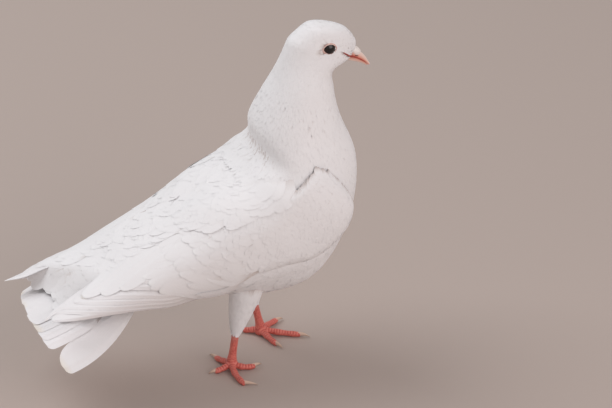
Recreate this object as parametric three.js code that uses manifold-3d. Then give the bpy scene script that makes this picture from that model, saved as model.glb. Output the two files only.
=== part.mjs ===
// A white domestic pigeon, standing, as a still life-size model.
//
// Millimetres, +Z up, the floor at Z = 0. The bill points towards +X and the bird's left side towards +Y.
// One spine runs from the wing tips to the crown. Slices across it carry two outlines: the body itself,
// and the cloak, which is the outer face of the folded wings. Trunk, neck and head are lengths of the first
// surface; wings and primaries are patches of the second one, let into the trunk.
import * as THREE from 'three';
import { mergeVertices } from 'three/addons/utils/BufferGeometryUtils.js';
import Module from 'manifold-3d';

const wasm = await Module();
wasm.setup();

const DEG = Math.PI / 180;
const GAP = 0.3; // clearance between two solids that meet

// ---------------------------------------------------------------- driving sizes

// A slice: where the spine passes (x, z), how far the slice leans back, in degrees, and two outlines, each
// as half width, height above the spine and depth below it.
const SLICES = [
  { at: [-162, 67], lean: 6, body: [4, 3, 3], cloak: [39, 5, 6] },
  { at: [-135, 73.5], lean: 9, body: [14, 1, 3], cloak: [43, 10, 17] },
  { at: [-106, 78.5], lean: 13, body: [27, 5, 16], cloak: [45, 16, 26] },
  { at: [-84, 85.5], lean: 16, body: [33, 11, 27], cloak: [46, 21, 37] },
  { at: [-54, 98], lean: 18, body: [39, 20, 39], cloak: [47, 23.5, 46] },
  { at: [-20, 111], lean: 22, body: [46.5, 28, 65], cloak: [50, 30, 66] },
  { at: [10, 127], lean: 32, body: [47.5, 27, 76], cloak: [51, 29, 77] },
  { at: [26, 147], lean: 54, body: [43, 25, 60], cloak: [48.5, 27, 72] },
  { at: [29, 166], lean: 66, body: [36, 27, 52], cloak: [40, 28, 60] },
  { at: [33, 187], lean: 72, body: [28.5, 22.5, 34], cloak: [30, 24, 35] },
  { at: [38, 204], lean: 74, body: [22.5, 18.8, 24], cloak: [23, 20, 25] },
  { at: [43, 216], lean: 75, body: [17.3, 19, 19.5], cloak: [18, 20, 18] },
  { at: [46, 224], lean: 75, body: [14.8, 19, 28.5], cloak: [15, 19, 29] },
  { at: [48, 232], lean: 78, body: [13.3, 17.3, 28], cloak: [14, 18, 28] },
  { at: [50.5, 238], lean: 79, body: [11.8, 12.5, 23], cloak: [12, 14, 23] },
  { at: [53, 244.5], lean: 79, body: [0, 0, 0], cloak: [0, 0, 0] },
];

// Where the lengths of the body begin and end, measured along the spine from the wing tips.
const TRUNK_FROM = 50;
const NECK_FROM = 238;
const HEAD_FROM = 284;
const RUMP_LENGTH = 16; // over which the trunk rounds off above the tail

// The edges of a folded wing: distance along the spine, then the angle round the body, from the middle of
// the back, of its upper and its lower edge.
const WING_EDGES = [
  [80, 15, 62],
  [97, 16, 74],
  [117, 15, 106],
  [134, 21, 124],
  [150, 38, 118],
  [168, 48, 117],
  [190, 62, 131],
  [204, 77, 134],
  [212, 86, 128],
  [219, 95, 113],
  [223, 99, 104],
];
const PRIMARY_EDGES = [
  [0, 70, 108],
  [8, 50, 106],
  [27, 34, 102],
  [48, 25, 100],
  [77, 16, 114],
  [100, 20, 134],
  [123, 70, 137],
  [136, 100, 132],
];
const WING_LIFT = 0.6; // the wing's face stands this proud of the cloak
const WING_THICKNESS = [1, 6]; // at the edges and in the middle
const PRIMARY_SINK = 1; // the primaries lie this far under the wing's face
const PRIMARY_THICKNESS = [1.2, 4];

const TAIL = {
  root: [-80, 81],
  end: [-157, 58],
  halfWidths: [27, 33, 41, 47, 50, 50.5], // root to end
  droop: 15, // how far the outer feathers hang below the middle ones
  roll: 4, // degrees that the fan is rolled, right side down
  thickness: [5, 1.8],
  feathers: 12,
  scallop: 3.5,
};

const EYE = { at: [55.2, 8.7, 229.6], radius: 5.2 };
const BILL = { root: [67, 220.5], tip: [87.8, 206.5], halfWidth: 4.8 };

// Feet: where the toes meet the shank, the ankle, and the top of the feathered leg; then each toe's heading
// in degrees from straight ahead (left is positive) at half its length, at its end and at its claw's tip,
// and how far the end and the claw's tip reach.
const LEGS = {
  right: {
    foot: [-18, -18, 7],
    ankle: [-14, -17.5, 34],
    thigh: [-6, -21, 72],
    toes: {
      hind: { headings: [122, 114, 112], reach: [16, 23.5] },
      inner: { headings: [-50, -20, -6], reach: [15.5, 21] },
      middle: { headings: [-104, -89, -71], reach: [25, 29] },
      outer: { headings: [-160, -168, -172], reach: [13.5, 18] },
    },
  },
  left: {
    foot: [15.5, 18.5, 7],
    ankle: [9.5, 18, 34],
    thigh: [15, 21, 72],
    toes: {
      hind: { headings: [146, 148, 150], reach: [12, 18.5] },
      inner: { headings: [-78, -75, -72], reach: [20, 26] },
      middle: { headings: [-30, -27, -28], reach: [28, 35] },
      outer: { headings: [38, 36, 32], reach: [20, 25.5] },
    },
  },
};
const SHANK_RADIUS = 2.8;
const TOE_RADIUS = 2.5;

// ---------------------------------------------------------------- finishes

const finish = (color, roughness) => new THREE.MeshStandardMaterial({ color, roughness, metalness: 0 });
const PLUMAGE = finish('#f1eeec', 0.75);
const FLIGHT_FEATHER = finish('#efe9e2', 0.65);
const SCALED_SKIN = finish('#c4544a', 0.55);
const HORN = finish('#cdb7a6', 0.4);
const BILL_HORN = finish('#d9a190', 0.45);
const CERE_SKIN = finish('#f3ebe6', 0.7);
const EYE_GLOSS = finish('#120c0b', 0.1);

// ---------------------------------------------------------------- curves and surfaces

/** A smooth curve through rows of numbers: cubic pieces whose slope at a knot is the mean of its sides. */
function smooth(knots, rows, at) {
  const last = knots.length - 1;
  const t = Math.min(Math.max(at, knots[0]), knots[last]);
  let i = knots.findIndex((k) => k > t) - 1;
  if (i < 0) i = last - 1;
  const rise = (j, n) => (rows[j + 1][n] - rows[j][n]) / (knots[j + 1] - knots[j]);
  const slope = (j, n) => {
    if (j === 0) return rise(0, n);
    if (j === last) return rise(last - 1, n);
    const before = knots[j] - knots[j - 1];
    const after = knots[j + 1] - knots[j];
    return (rise(j - 1, n) * after + rise(j, n) * before) / (before + after);
  };
  const h = knots[i + 1] - knots[i];
  const u = (t - knots[i]) / h;
  return rows[i].map((_, n) => (2 * u ** 3 - 3 * u ** 2 + 1) * rows[i][n]
    + (u ** 3 - 2 * u ** 2 + u) * h * slope(i, n)
    + (3 * u ** 2 - 2 * u ** 3) * rows[i + 1][n]
    + (u ** 3 - u ** 2) * h * slope(i + 1, n));
}

const sliceRows = SLICES.map((s) => [...s.at, s.lean, ...s.body, ...s.cloak]);
const stations = [0];
for (let i = 1; i < SLICES.length; i += 1) {
  const [x, z] = SLICES[i].at;
  const [px, pz] = SLICES[i - 1].at;
  stations.push(stations[i - 1] + Math.hypot(x - px, z - pz));
}
const CROWN = stations[stations.length - 1];
const BROW = stations[stations.length - 2];

/** A point of the body or the cloak: s along the spine, angle round it from the middle of the back. */
function onSkin(s, angle, outline, grow = 0) {
  const row = smooth(stations, sliceRows, Math.min(s, CROWN));
  const [x, z, lean] = row;
  let [width, above, below] = outline === 'cloak' ? row.slice(6) : row.slice(3, 6);
  const dome = (t) => Math.sqrt(Math.max(1 - t ** 2, 0));
  if (s > BROW) { // the crown closes as a dome
    [width, above, below] = sliceRows[sliceRows.length - 2].slice(3, 6)
      .map((r) => r * dome((s - BROW) / (CROWN - BROW)));
  } else if (outline === 'body' && s < TRUNK_FROM + RUMP_LENGTH) { // and so does the rump
    [width, above, below] = [width, above, below]
      .map((r) => r * dome((TRUNK_FROM + RUMP_LENGTH - s) / RUMP_LENGTH));
  }
  const rise = Math.cos(angle) * ((Math.cos(angle) > 0 ? above : below) + grow);
  return new THREE.Vector3(
    x - Math.sin(lean * DEG) * rise,
    Math.sin(angle) * (width + grow),
    z + Math.cos(lean * DEG) * rise,
  );
}

// ---------------------------------------------------------------- making solids

/** Moves every corner of a box, cylinder or sphere to place(x, y, z), a Vector3. */
function bend(geometry, place) {
  const position = geometry.getAttribute('position');
  for (let i = 0; i < position.count; i += 1) {
    const p = place(position.getX(i), position.getY(i), position.getZ(i));
    position.setXYZ(i, p.x, p.y, p.z);
  }
  return geometry;
}

/** The closed solid of a geometry, with equal corners merged and its faces pointing out. */
function solid(geometry) {
  geometry.deleteAttribute('normal');
  geometry.deleteAttribute('uv');
  const merged = mergeVertices(geometry, 1e-3);
  const corner = merged.getAttribute('position').array;
  const index = merged.getIndex().array;
  const triangles = [];
  let volume = 0;
  for (let i = 0; i < index.length; i += 3) {
    const [a, b, c] = [index[i], index[i + 1], index[i + 2]];
    if (a === b || b === c || c === a) continue;
    triangles.push(a, b, c);
    const [p, q, r] = [a, b, c].map((k) => new THREE.Vector3().fromArray(corner, 3 * k));
    volume += p.dot(q.cross(r));
  }
  if (volume < 0) triangles.reverse();
  return new wasm.Manifold(new wasm.Mesh({
    numProp: 3,
    vertProperties: Float32Array.from(corner),
    triVerts: Uint32Array.from(triangles),
  }));
}

/** The one main piece of a solid, without the slivers that a grazing cut can leave. */
function mainPiece(cut) {
  return cut.decompose().reduce((big, piece) => (piece.volume() > big.volume() ? piece : big));
}

/** A length of the body between two stations, with rings that crowd to its start where ease is over 1. */
function bodyLength(from, to, { rings, around = 22, ease = 1, grow = 0 }) {
  return solid(bend(
    new THREE.CylinderGeometry(1, 1, 1, around, rings),
    (x, y, z) => {
      const hub = Math.hypot(x, z) < 0.5;
      const s = from + (to - from) * (y + 0.5) ** ease;
      if (!hub) return onSkin(s, Math.atan2(x, z), 'body', grow);
      const top = onSkin(s, 0, 'body');
      return top.add(onSkin(s, Math.PI, 'body')).multiplyScalar(0.5);
    },
  ));
}

/**
 * A tapered tube along a curve. radius(t) gives its half width and its half height, the height lying
 * towards the direction top, and floor flattens it below.
 */
function limb(curve, radius, { rings, around, top = [0, 0, 1], floor = -Infinity }) {
  return solid(bend(
    new THREE.CylinderGeometry(1, 1, 1, around, rings),
    (x, y, z) => {
      const along = curve.getTangent(y + 0.5);
      const aside = new THREE.Vector3(...top).cross(along).normalize();
      const up = along.clone().cross(aside);
      const [wide, high] = radius(y + 0.5);
      const p = curve.getPoint(y + 0.5).addScaledVector(aside, x * wide).addScaledVector(up, z * high);
      p.z = Math.max(p.z, floor);
      return p;
    },
  ));
}

/** A patch of the cloak between two edge curves, with a thickness that thins towards its edges. */
function cloakPatch({ side, edges, rear, lift, thickness, steps, grow = 0 }) {
  const knots = edges.map((e) => e[0]);
  const spread = grow / 40;
  const front = knots[knots.length - 1];
  return solid(bend(
    new THREE.BoxGeometry(1, 1, 1, steps[0], 1, steps[1]),
    (x, y, z) => {
      const q = z + 0.5;
      const p = 1 - (0.5 - x) ** 1.3;
      const start = rear(q) - grow;
      const s = start + (front + grow - start) * p;
      const [, high, low] = smooth(knots, edges, s);
      const angle = (high + (low - high) * q) * DEG + spread * (2 * q - 1);
      const body = Math.sin(Math.PI * q) ** 0.6 * Math.sin(Math.PI * Math.min(p + 0.12, 1)) ** 0.5;
      const thick = thickness[0] + (thickness[1] - thickness[0]) * body;
      return onSkin(s, side * angle, 'cloak', y > 0 ? lift + grow : lift - thick - grow);
    },
  ));
}

const wing = (side, grow = 0) => cloakPatch({
  side,
  grow,
  edges: WING_EDGES,
  rear: (q) => 80 + 37 * q ** 2.2,
  lift: WING_LIFT,
  thickness: WING_THICKNESS,
  steps: [14, 8],
});

const primaries = (side, grow = 0) => cloakPatch({
  side,
  grow,
  edges: PRIMARY_EDGES,
  rear: () => 0,
  lift: WING_LIFT - PRIMARY_SINK,
  thickness: PRIMARY_THICKNESS,
  steps: [14, 5],
});

/** The tail, a fan of feathers that arches from side to side, with one round scallop to each feather. */
function tailFan(grow = 0) {
  const knots = TAIL.halfWidths.map((_, i) => i / (TAIL.halfWidths.length - 1));
  const widths = TAIL.halfWidths.map((w) => [w]);
  return solid(bend(
    new THREE.BoxGeometry(1, 1, 1, 4, 1, TAIL.feathers * 3),
    (x, y, z) => {
      const q = 2 * z;
      const p = 0.5 - x;
      const [half] = smooth(knots, widths, p);
      const notch = TAIL.scallop * (1 - Math.abs(Math.cos(Math.PI * TAIL.feathers * z)) ** 0.6) * p ** 3;
      const length = 1 - 0.15 * q ** 2 * p;
      const reach = p * length - (notch - grow * (2 * p - 1)) / 80;
      const thick = TAIL.thickness[0] + (TAIL.thickness[1] - TAIL.thickness[0]) * p;
      return new THREE.Vector3(
        TAIL.root[0] + (TAIL.end[0] - TAIL.root[0]) * reach,
        (half + grow) * q,
        TAIL.root[1] + (TAIL.end[1] - TAIL.root[1]) * reach - TAIL.droop * Math.abs(q) ** 2.6
          + half * q * Math.sin(TAIL.roll * DEG) + (thick / 2 + 2 * grow) * 2 * y,
      );
    },
  ));
}

/** A ball squashed to three radii, flattened below the floor. */
function ball(at, radii, around, rings, floor = -Infinity) {
  return solid(bend(
    new THREE.SphereGeometry(1, around, rings),
    (x, y, z) => new THREE.Vector3(
      at[0] + x * radii[0],
      at[1] + y * radii[1],
      Math.max(at[2] + z * radii[2], floor),
    ),
  ));
}

// ---------------------------------------------------------------- the bill

/** Half a bill along its bent axis: rise 1 for the upper half and -1 for the lower one. */
function mandible(rise, grow = 0) {
  const [x0, z0] = BILL.root;
  const [x1, z1] = BILL.tip;
  const start = new THREE.Vector3(x0, 0, z0 + (rise > 0 ? 2.2 : -3.2));
  const bow = new THREE.Vector3((x0 + x1) / 2 + 3.5, 0, (z0 + z1) / 2 + (rise > 0 ? 4.4 : -1));
  const end = new THREE.Vector3(x1 - (rise < 0 ? 1.5 : 0), 0, z1 + (rise < 0 ? 0.4 : 0));
  return limb(
    new THREE.QuadraticBezierCurve3(start, bow, end),
    (t) => [
      BILL.halfWidth * (1 - 0.86 * t ** 1.2) + grow,
      (rise > 0 ? 2.9 : 2.1) * (1 - 0.8 * t ** 1.6) + grow,
    ],
    { rings: 6, around: 10 },
  );
}

const cere = (grow = 0) => ball([76.8, 0, 219.6], [4.6 + grow, 4.2 + grow, 3 + grow], 10, 6);

// ---------------------------------------------------------------- the legs

/** The point a toe reaches, from the foot, on a heading and at a height. */
function toePoint(leg, reach, heading, height) {
  return new THREE.Vector3(
    leg.foot[0] + reach * Math.cos(heading * DEG),
    leg.foot[1] + reach * Math.sin(heading * DEG),
    height,
  );
}

function toe(leg, { headings, reach }, grow = 0) {
  const curve = new THREE.QuadraticBezierCurve3(
    toePoint(leg, 2, headings[0], 4),
    toePoint(leg, reach[0] * 0.55, headings[0], TOE_RADIUS),
    toePoint(leg, reach[0], headings[1], TOE_RADIUS * 0.75),
  );
  const knuckled = (t) => TOE_RADIUS * (1 - 0.2 * t) * (0.96 + 0.06 * Math.cos(4 * Math.PI * t)) + grow;
  return limb(curve, (t) => [knuckled(t), knuckled(t)], { rings: 5, around: 8, floor: -grow });
}

function claw(leg, { headings, reach }) {
  const middle = (headings[1] + headings[2]) / 2;
  const curve = new THREE.QuadraticBezierCurve3(
    toePoint(leg, reach[0] - 1, headings[1], TOE_RADIUS * 0.85),
    toePoint(leg, (reach[0] + reach[1]) / 2, middle, TOE_RADIUS * 1.15),
    toePoint(leg, reach[1], headings[2], 0.5),
  );
  return limb(curve, (t) => [1.45 - 1.15 * t, 1.45 - 1.15 * t], { rings: 3, around: 6, floor: 0 });
}

/** The scaled shank, from inside the feathered leg down to the ball where the toes meet. */
function shank(leg, grow = 0) {
  const foot = new THREE.Vector3(...leg.foot);
  const ankle = new THREE.Vector3(...leg.ankle);
  const curve = new THREE.LineCurve3(ankle, foot);
  const flare = (t) => SHANK_RADIUS * (1 + 0.35 * (2 * t - 1) ** 4) + grow;
  const ballOfFoot = ball([foot.x, foot.y, 3.6], Array(3).fill(4.2 + grow), 10, 8, -grow);
  return limb(curve, (t) => [flare(t), flare(t)], { rings: 5, around: 10, top: [1, 0, 0] }).add(ballOfFoot);
}

/** The feathered leg: a cone of plumage from the belly to just below the ankle. */
function thigh(leg) {
  const foot = new THREE.Vector3(...leg.foot);
  const ankle = new THREE.Vector3(...leg.ankle);
  const below = ankle.clone().lerp(foot, 0.3);
  const curve = new THREE.QuadraticBezierCurve3(new THREE.Vector3(...leg.thigh), ankle, below);
  const taper = (t) => 4.2 + 9 * (1 - t) ** 1.3;
  return limb(curve, (t) => [taper(t), taper(t)], { rings: 5, around: 12, top: [1, 0, 0] });
}

// ---------------------------------------------------------------- the pigeon

const pigeon = new THREE.Group();

/** Adds a solid as a named mesh. */
function add(name, body, material) {
  const { vertProperties, triVerts } = body.getMesh();
  const geometry = new THREE.BufferGeometry();
  geometry.setAttribute('position', new THREE.BufferAttribute(vertProperties, 3));
  geometry.setIndex(new THREE.BufferAttribute(triVerts, 1));
  const mesh = new THREE.Mesh(geometry, material);
  mesh.name = name;
  pigeon.add(mesh);
}

const SIDES = { right: -1, left: 1 };
const TRUNK_RINGS = { rings: 16, ease: 1.3 };

let trunk = bodyLength(TRUNK_FROM, NECK_FROM - GAP, TRUNK_RINGS).subtract(tailFan(GAP));
let tail = tailFan();
for (const [name, side] of Object.entries(SIDES)) {
  const feathers = mainPiece(primaries(side).subtract(wing(side, GAP)));
  trunk = trunk.subtract(wing(side, GAP)).subtract(primaries(side, GAP));
  tail = tail.subtract(primaries(side, GAP));
  add(`wing_${name}`, wing(side), PLUMAGE);
  add(`primaries_${name}`, feathers, FLIGHT_FEATHER);
}
add('trunk', trunk, PLUMAGE);
add('tail', tail, FLIGHT_FEATHER);
add('neck', bodyLength(NECK_FROM, HEAD_FROM - GAP, { rings: 4 }), PLUMAGE);

let head = bodyLength(HEAD_FROM, CROWN, { rings: 10 });
for (const [name, side] of Object.entries(SIDES)) {
  const [x, y, z] = EYE.at;
  head = head.subtract(ball([x, side * y, z], Array(3).fill(EYE.radius + GAP), 12, 8));
  add(`eye_${name}`, ball([x, side * y, z], Array(3).fill(EYE.radius), 12, 8), EYE_GLOSS);
}
const upper = mandible(1).subtract(cere(GAP));
const lower = mandible(-1).subtract(mandible(1, GAP)).subtract(cere(GAP));
head = head.subtract(mandible(1, GAP)).subtract(mandible(-1, GAP)).subtract(cere(GAP));
add('head', head, PLUMAGE);
add('bill_upper', upper, BILL_HORN);
add('bill_lower', lower, BILL_HORN);
add('cere', cere(), CERE_SKIN);

const belly = bodyLength(TRUNK_FROM, NECK_FROM, { ...TRUNK_RINGS, grow: GAP });
for (const [name, leg] of Object.entries(LEGS)) {
  add(`thigh_${name}`, thigh(leg).subtract(belly).subtract(shank(leg, GAP)), PLUMAGE);
  add(`shank_${name}`, shank(leg), SCALED_SKIN);
  let taken = shank(leg, GAP);
  for (const [toeName, digit] of Object.entries(leg.toes)) {
    const scaled = toe(leg, digit).subtract(taken);
    taken = taken.add(toe(leg, digit, GAP));
    add(`toe_${toeName}_${name}`, scaled, SCALED_SKIN);
    add(`claw_${toeName}_${name}`, claw(leg, digit).subtract(taken), HORN);
  }
}

// The origin is on the floor, under the middle of the bird's length and width.
const box = new THREE.Box3().setFromObject(pigeon);
pigeon.position.set(-(box.min.x + box.max.x) / 2, -(box.min.y + box.max.y) / 2, 0);

export default pigeon;
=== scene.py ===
# %% [markdown]
# # A white pigeon
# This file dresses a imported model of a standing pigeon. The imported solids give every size. Here they get
# a skin, a coat of mesh feathers, flight feathers, eyes, a bill and scaled feet.
#
# A real coat is thousands of separate vanes, each rooted in the skin. Hair particles or a painted bump could
# stand in for them, but neither has the edges that catch the light. So every vane here is a small closed
# mesh, and whole regions of vanes are worked out at once as one array.
# Lengths are worked out in millimetres and turned to metres when a mesh is made.

# %% The frame and the tools
import math

import bpy
import numpy as np
from mathutils import Matrix, Vector


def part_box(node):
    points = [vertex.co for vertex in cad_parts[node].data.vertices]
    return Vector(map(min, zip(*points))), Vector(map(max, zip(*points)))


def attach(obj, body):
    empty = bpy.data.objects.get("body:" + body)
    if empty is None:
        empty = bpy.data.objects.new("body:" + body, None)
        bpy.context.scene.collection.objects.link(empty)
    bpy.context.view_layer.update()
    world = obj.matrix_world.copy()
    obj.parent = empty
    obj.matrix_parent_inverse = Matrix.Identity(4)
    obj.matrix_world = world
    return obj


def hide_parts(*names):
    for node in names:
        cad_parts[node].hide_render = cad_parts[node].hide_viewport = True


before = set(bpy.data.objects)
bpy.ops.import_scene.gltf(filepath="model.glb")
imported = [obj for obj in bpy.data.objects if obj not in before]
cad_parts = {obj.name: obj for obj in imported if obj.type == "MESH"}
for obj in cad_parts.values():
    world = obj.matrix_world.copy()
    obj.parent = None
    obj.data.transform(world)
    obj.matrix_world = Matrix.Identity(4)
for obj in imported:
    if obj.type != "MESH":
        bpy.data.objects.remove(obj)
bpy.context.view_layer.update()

# %% [markdown]
# ## The bird's own surface
# The solids were drawn on one spine from the wing tips to the crown, with slices across it. The same few
# numbers give the same surface here, as a smooth function instead of flat faces: how far along the spine,
# how far round from the middle of the back, how high above the surface. Sculpting the body by hand would
# work too, but then nothing could say where a feather's root lies or which way its tip points.
#
# Such a function is called a chart below. It takes two places and a height, and gives a point in space.

# %% Slices across the spine
# spine x and z, lean of the slice in degrees; then half width, height above and depth below the spine,
# for the body and for the cloak, which is the outer face of the folded wings
SLICES = np.array([
    [-162, 67, 6, 4, 3, 3, 39, 5, 6],
    [-135, 73.5, 9, 14, 1, 3, 43, 10, 17],
    [-106, 78.5, 13, 27, 5, 16, 45, 16, 26],
    [-84, 85.5, 16, 33, 11, 27, 46, 21, 37],
    [-54, 98, 18, 39, 20, 39, 47, 23.5, 46],
    [-20, 111, 22, 46.5, 28, 65, 50, 30, 66],
    [10, 127, 32, 47.5, 27, 76, 51, 29, 77],
    [26, 147, 54, 43, 25, 60, 48.5, 27, 72],
    [29, 166, 66, 36, 27, 52, 40, 28, 60],
    [33, 187, 72, 28.5, 22.5, 34, 30, 24, 35],
    [38, 204, 74, 22.5, 18.8, 24, 23, 20, 25],
    [43, 216, 75, 17.3, 19, 19.5, 18, 20, 18],
    [46, 224, 75, 14.8, 19, 28.5, 15, 19, 29],
    [48, 232, 78, 13.3, 17.3, 28, 14, 18, 28],
    [50.5, 238, 79, 11.8, 12.5, 23, 12, 14, 23],
    [53, 244.5, 79, 0, 0, 0, 0, 0, 0],
])
STATIONS = np.append(0, np.hypot(*np.diff(SLICES[:, :2], axis=0).T).cumsum())
BROW, CROWN = STATIONS[-2:]
RUMP, RUMP_LENGTH = 50.0, 16.0  # where the trunk ends, and over what length it rounds off
BODY, CLOAK = slice(3, 6), slice(6, 9)  # the columns of the two sets of sizes
print("spine from wing tips to crown:", round(float(CROWN)), "mm")


# %% Smooth tables
def smooth(knots, rows, at):
    """Cubic pieces through the rows. A knot's slope is the mean of its sides, the nearer weighing more."""
    knots, rows = np.asarray(knots, float), np.asarray(rows, float)
    step = np.diff(knots)[:, None]
    rise = np.diff(rows, axis=0) / step
    middle = (rise[:-1] * step[1:] + rise[1:] * step[:-1]) / (step[1:] + step[:-1])
    slope = np.vstack([rise[:1], middle, rise[-1:]])
    t = np.clip(at, knots[0], knots[-1])
    i = np.clip(np.searchsorted(knots, t, side="right") - 1, 0, len(knots) - 2)
    h = step[i]
    u = (t - knots[i])[..., None] / h
    return ((2 * u**3 - 3 * u**2 + 1) * rows[i] + (u**3 - 2 * u**2 + u) * h * slope[i]
            + (3 * u**2 - 2 * u**3) * rows[i + 1] + (u**3 - u**2) * h * slope[i + 1])


def ease(t):
    """0 below 0, 1 above 1, and a smooth step between: three t squared less two t cubed."""
    t = np.clip(t, 0, 1)
    return t * t * (3 - 2 * t)


def unit(vectors):
    """Each vector over its own length."""
    return vectors / np.maximum(np.linalg.norm(vectors, axis=-1, keepdims=True), 1e-12)


def surface(chart):
    """Lets a chart take numbers or arrays of any matching shapes, with a height of 0 when none is given."""
    return lambda a, b, lift=0.0: chart(*np.broadcast_arrays(*np.atleast_1d(a, b, lift)))


SHOULDER = 190.0  # along the spine
print("half width at the shoulder, mm:", smooth(STATIONS, SLICES, SHOULDER)[3].round(1))


# %% The body's chart
def slice_point(row, angle, radii, dome, lift):
    """Along the slice's up by cosine times height or depth, aside by sine times half width, all domed."""
    lean = np.radians(row[..., 2])
    cos, sin = np.cos(angle), np.sin(angle)
    rise = cos * (np.where(cos > 0, radii[..., 1], radii[..., 2]) + lift) * dome
    return np.stack([row[..., 0] - np.sin(lean) * rise, sin * (radii[..., 0] + lift) * dome,
                     row[..., 1] + np.cos(lean) * rise], -1)


@surface
def body_point(s, angle, lift):
    """The body: s along the spine, angle round it from the middle of the back.

    At the rump it rounds off as a quarter circle: the root of one less the square of the share run past.
    """
    row = smooth(STATIONS, SLICES, s)
    dome = np.sqrt(np.clip(1 - np.clip((RUMP + RUMP_LENGTH - s) / RUMP_LENGTH, 0, 1) ** 2, 0, 1))
    return slice_point(row, angle, row[..., BODY], dome, lift)


print("back above rump and brow, mm:", body_point([RUMP, BROW], 0).round(1).tolist())


# %% The head's chart
FACE_LENGTH, NAPE_LENGTH = 2.0, 1.2  # the crown's lengths ahead and behind over its half width
FOREHEAD_AT, FOREHEAD_SPREAD, FOREHEAD_SWELL = (75.5, 0, 225.5), (10, 5.5, 7), 2.4  # all in mm


def crisp_head(across, even, lift):
    """The crown's dome within 1 of its middle, the lower slices beyond, with a crease where they join."""
    away = np.hypot(across, even)
    steep = np.clip(away, 0, 1) * math.pi / 2
    beyond = (np.maximum(away, 1) - 1) * (CROWN - BROW) * math.pi / 2
    s = np.where(away < 1, BROW + (CROWN - BROW) * np.cos(steep), BROW - beyond)
    row = smooth(STATIONS, SLICES, s)
    radii = np.where((away < 1)[..., None], SLICES[-2, BODY], row[..., BODY])
    radii[..., 0] = smooth(STATIONS[:-1], SLICES[:-1, 3:4], s)[..., 0]  # upright sides where the dome begins
    point = slice_point(row, np.arctan2(across, -even), radii, np.sin(steep), lift)
    up = np.array([SLICES[-1, 0] - SLICES[-2, 0], 0, SLICES[-1, 1] - SLICES[-2, 1]])
    return point + (lift * np.cos(steep))[..., None] * up / np.linalg.norm(up)


@surface
def head_point(across, ahead, lift):
    """The head from its crown outwards, as a disc: the mean of three nearby points rounds off the crease.

    Ahead is divided by the crown's length on that side, so that a step is about as long as one across. The
    forehead swells forward over the bill's root by a bell curve, the exponential of minus distance squared.
    """
    even = ahead / np.where(ahead > 0, FACE_LENGTH, NAPE_LENGTH)
    near = 0.22 * (1 - ease((np.hypot(across, even) - 1.1) / 0.9))
    parts = (1 - near, 1 + 0 * near, 1 + near)
    point = sum(crisp_head(across * part, even * part, lift) for part in parts) / 3
    from_swell = ((point - FOREHEAD_AT) / FOREHEAD_SPREAD) ** 2
    point[..., 0] += FOREHEAD_SWELL * np.exp(-from_swell.sum(-1))
    return point


print("crown at, mm:", head_point(0, 0).round(1)[0])

# %% [markdown]
# ### The folded wings, the tail and the legs
# A folded wing lies on the cloak between two edge curves. Its rim rolls in, so that the feathers there
# turn round the wing's edge. The tail is a fan that arches from side to side and is rolled a little. Both
# could be flat cards bent into place, but charts let their feathers be laid as those on the body are.

# %% Folded wing
# distance along the spine, then the angle in degrees of the upper and the lower edge: first of the shield,
# which is the wing's coverts and secondaries, then of the primaries that run on from under it
SHIELD_EDGES = np.array([
    [80, 15, 62], [97, 16, 74], [117, 15, 106], [134, 21, 124], [150, 38, 118], [168, 48, 117],
    [190, 62, 131], [204, 77, 134], [212, 86, 128], [219, 95, 113], [223, 99, 104],
])
PRIMARY_EDGES = np.array([
    [0, 70, 108], [8, 50, 106], [27, 34, 102], [48, 25, 100], [77, 16, 114], [100, 20, 134],
    [123, 70, 137], [136, 100, 132],
])
WING_EDGES = np.vstack([PRIMARY_EDGES[:5], [[100, 15, 134], [117, 15, 136]], SHIELD_EDGES[3:]])
WING_FRONT = WING_EDGES[-1, 0]  # the bend of the wing
WING_LIFT = 0.6  # how far the wing's feathers lie outside the cloak, mm
RIM_DEPTH, RIM_WIDTH = (0.3, 2.1), 8  # how deep the rim rolls in, behind and at the front; over what width


def edges_at(table, s):
    """Upper and lower edge angle, in radians, at s along the spine."""
    return np.radians(np.moveaxis(smooth(table[:, 0], table[:, 1:], s), -1, 0))


@surface
def wing_point(s, angle, lift):
    """The cloak, rolled in over the rim's width: by its depth times the square of the way across it."""
    row = smooth(STATIONS, SLICES, s)
    top, bottom = edges_at(WING_EDGES, s)
    inside = np.minimum(abs(angle) - top, bottom - abs(angle)) * row[..., 6]
    inside = np.minimum(inside, (WING_FRONT - s) * 0.9)
    depth = RIM_DEPTH[0] + (RIM_DEPTH[1] - RIM_DEPTH[0]) * ease((s - 120) / 40)
    roll = depth * (1 - np.clip(inside / RIM_WIDTH, -0.5, 1)) ** 2
    return slice_point(row, angle, row[..., CLOAK], 1.0, lift + WING_LIFT - roll)


print("wing from tip to bend along the spine, mm:", WING_FRONT)

# %% The wing unrolled
# how many millimetres each angle lies above the wing's lower edge, and the other way round
UNROLL_S = np.linspace(0, WING_FRONT, 112)
UNROLL_ANGLE = np.radians(np.linspace(3, 175, 345))
rings = wing_point(UNROLL_S[:, None], UNROLL_ANGLE)
arc = np.pad(np.linalg.norm(np.diff(rings, axis=1), axis=-1), ((0, 0), (1, 0))).cumsum(1)
lower = edges_at(WING_EDGES, UNROLL_S)[1]
lower_arc = np.array([np.interp(a, UNROLL_ANGLE, row) for a, row in zip(lower, arc)])
UNROLL_HEIGHT = np.linspace(-20, 100, 241)
UNROLLED = np.array([np.interp(low - UNROLL_HEIGHT, row, UNROLL_ANGLE) for low, row in zip(lower_arc, arc)])


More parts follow.
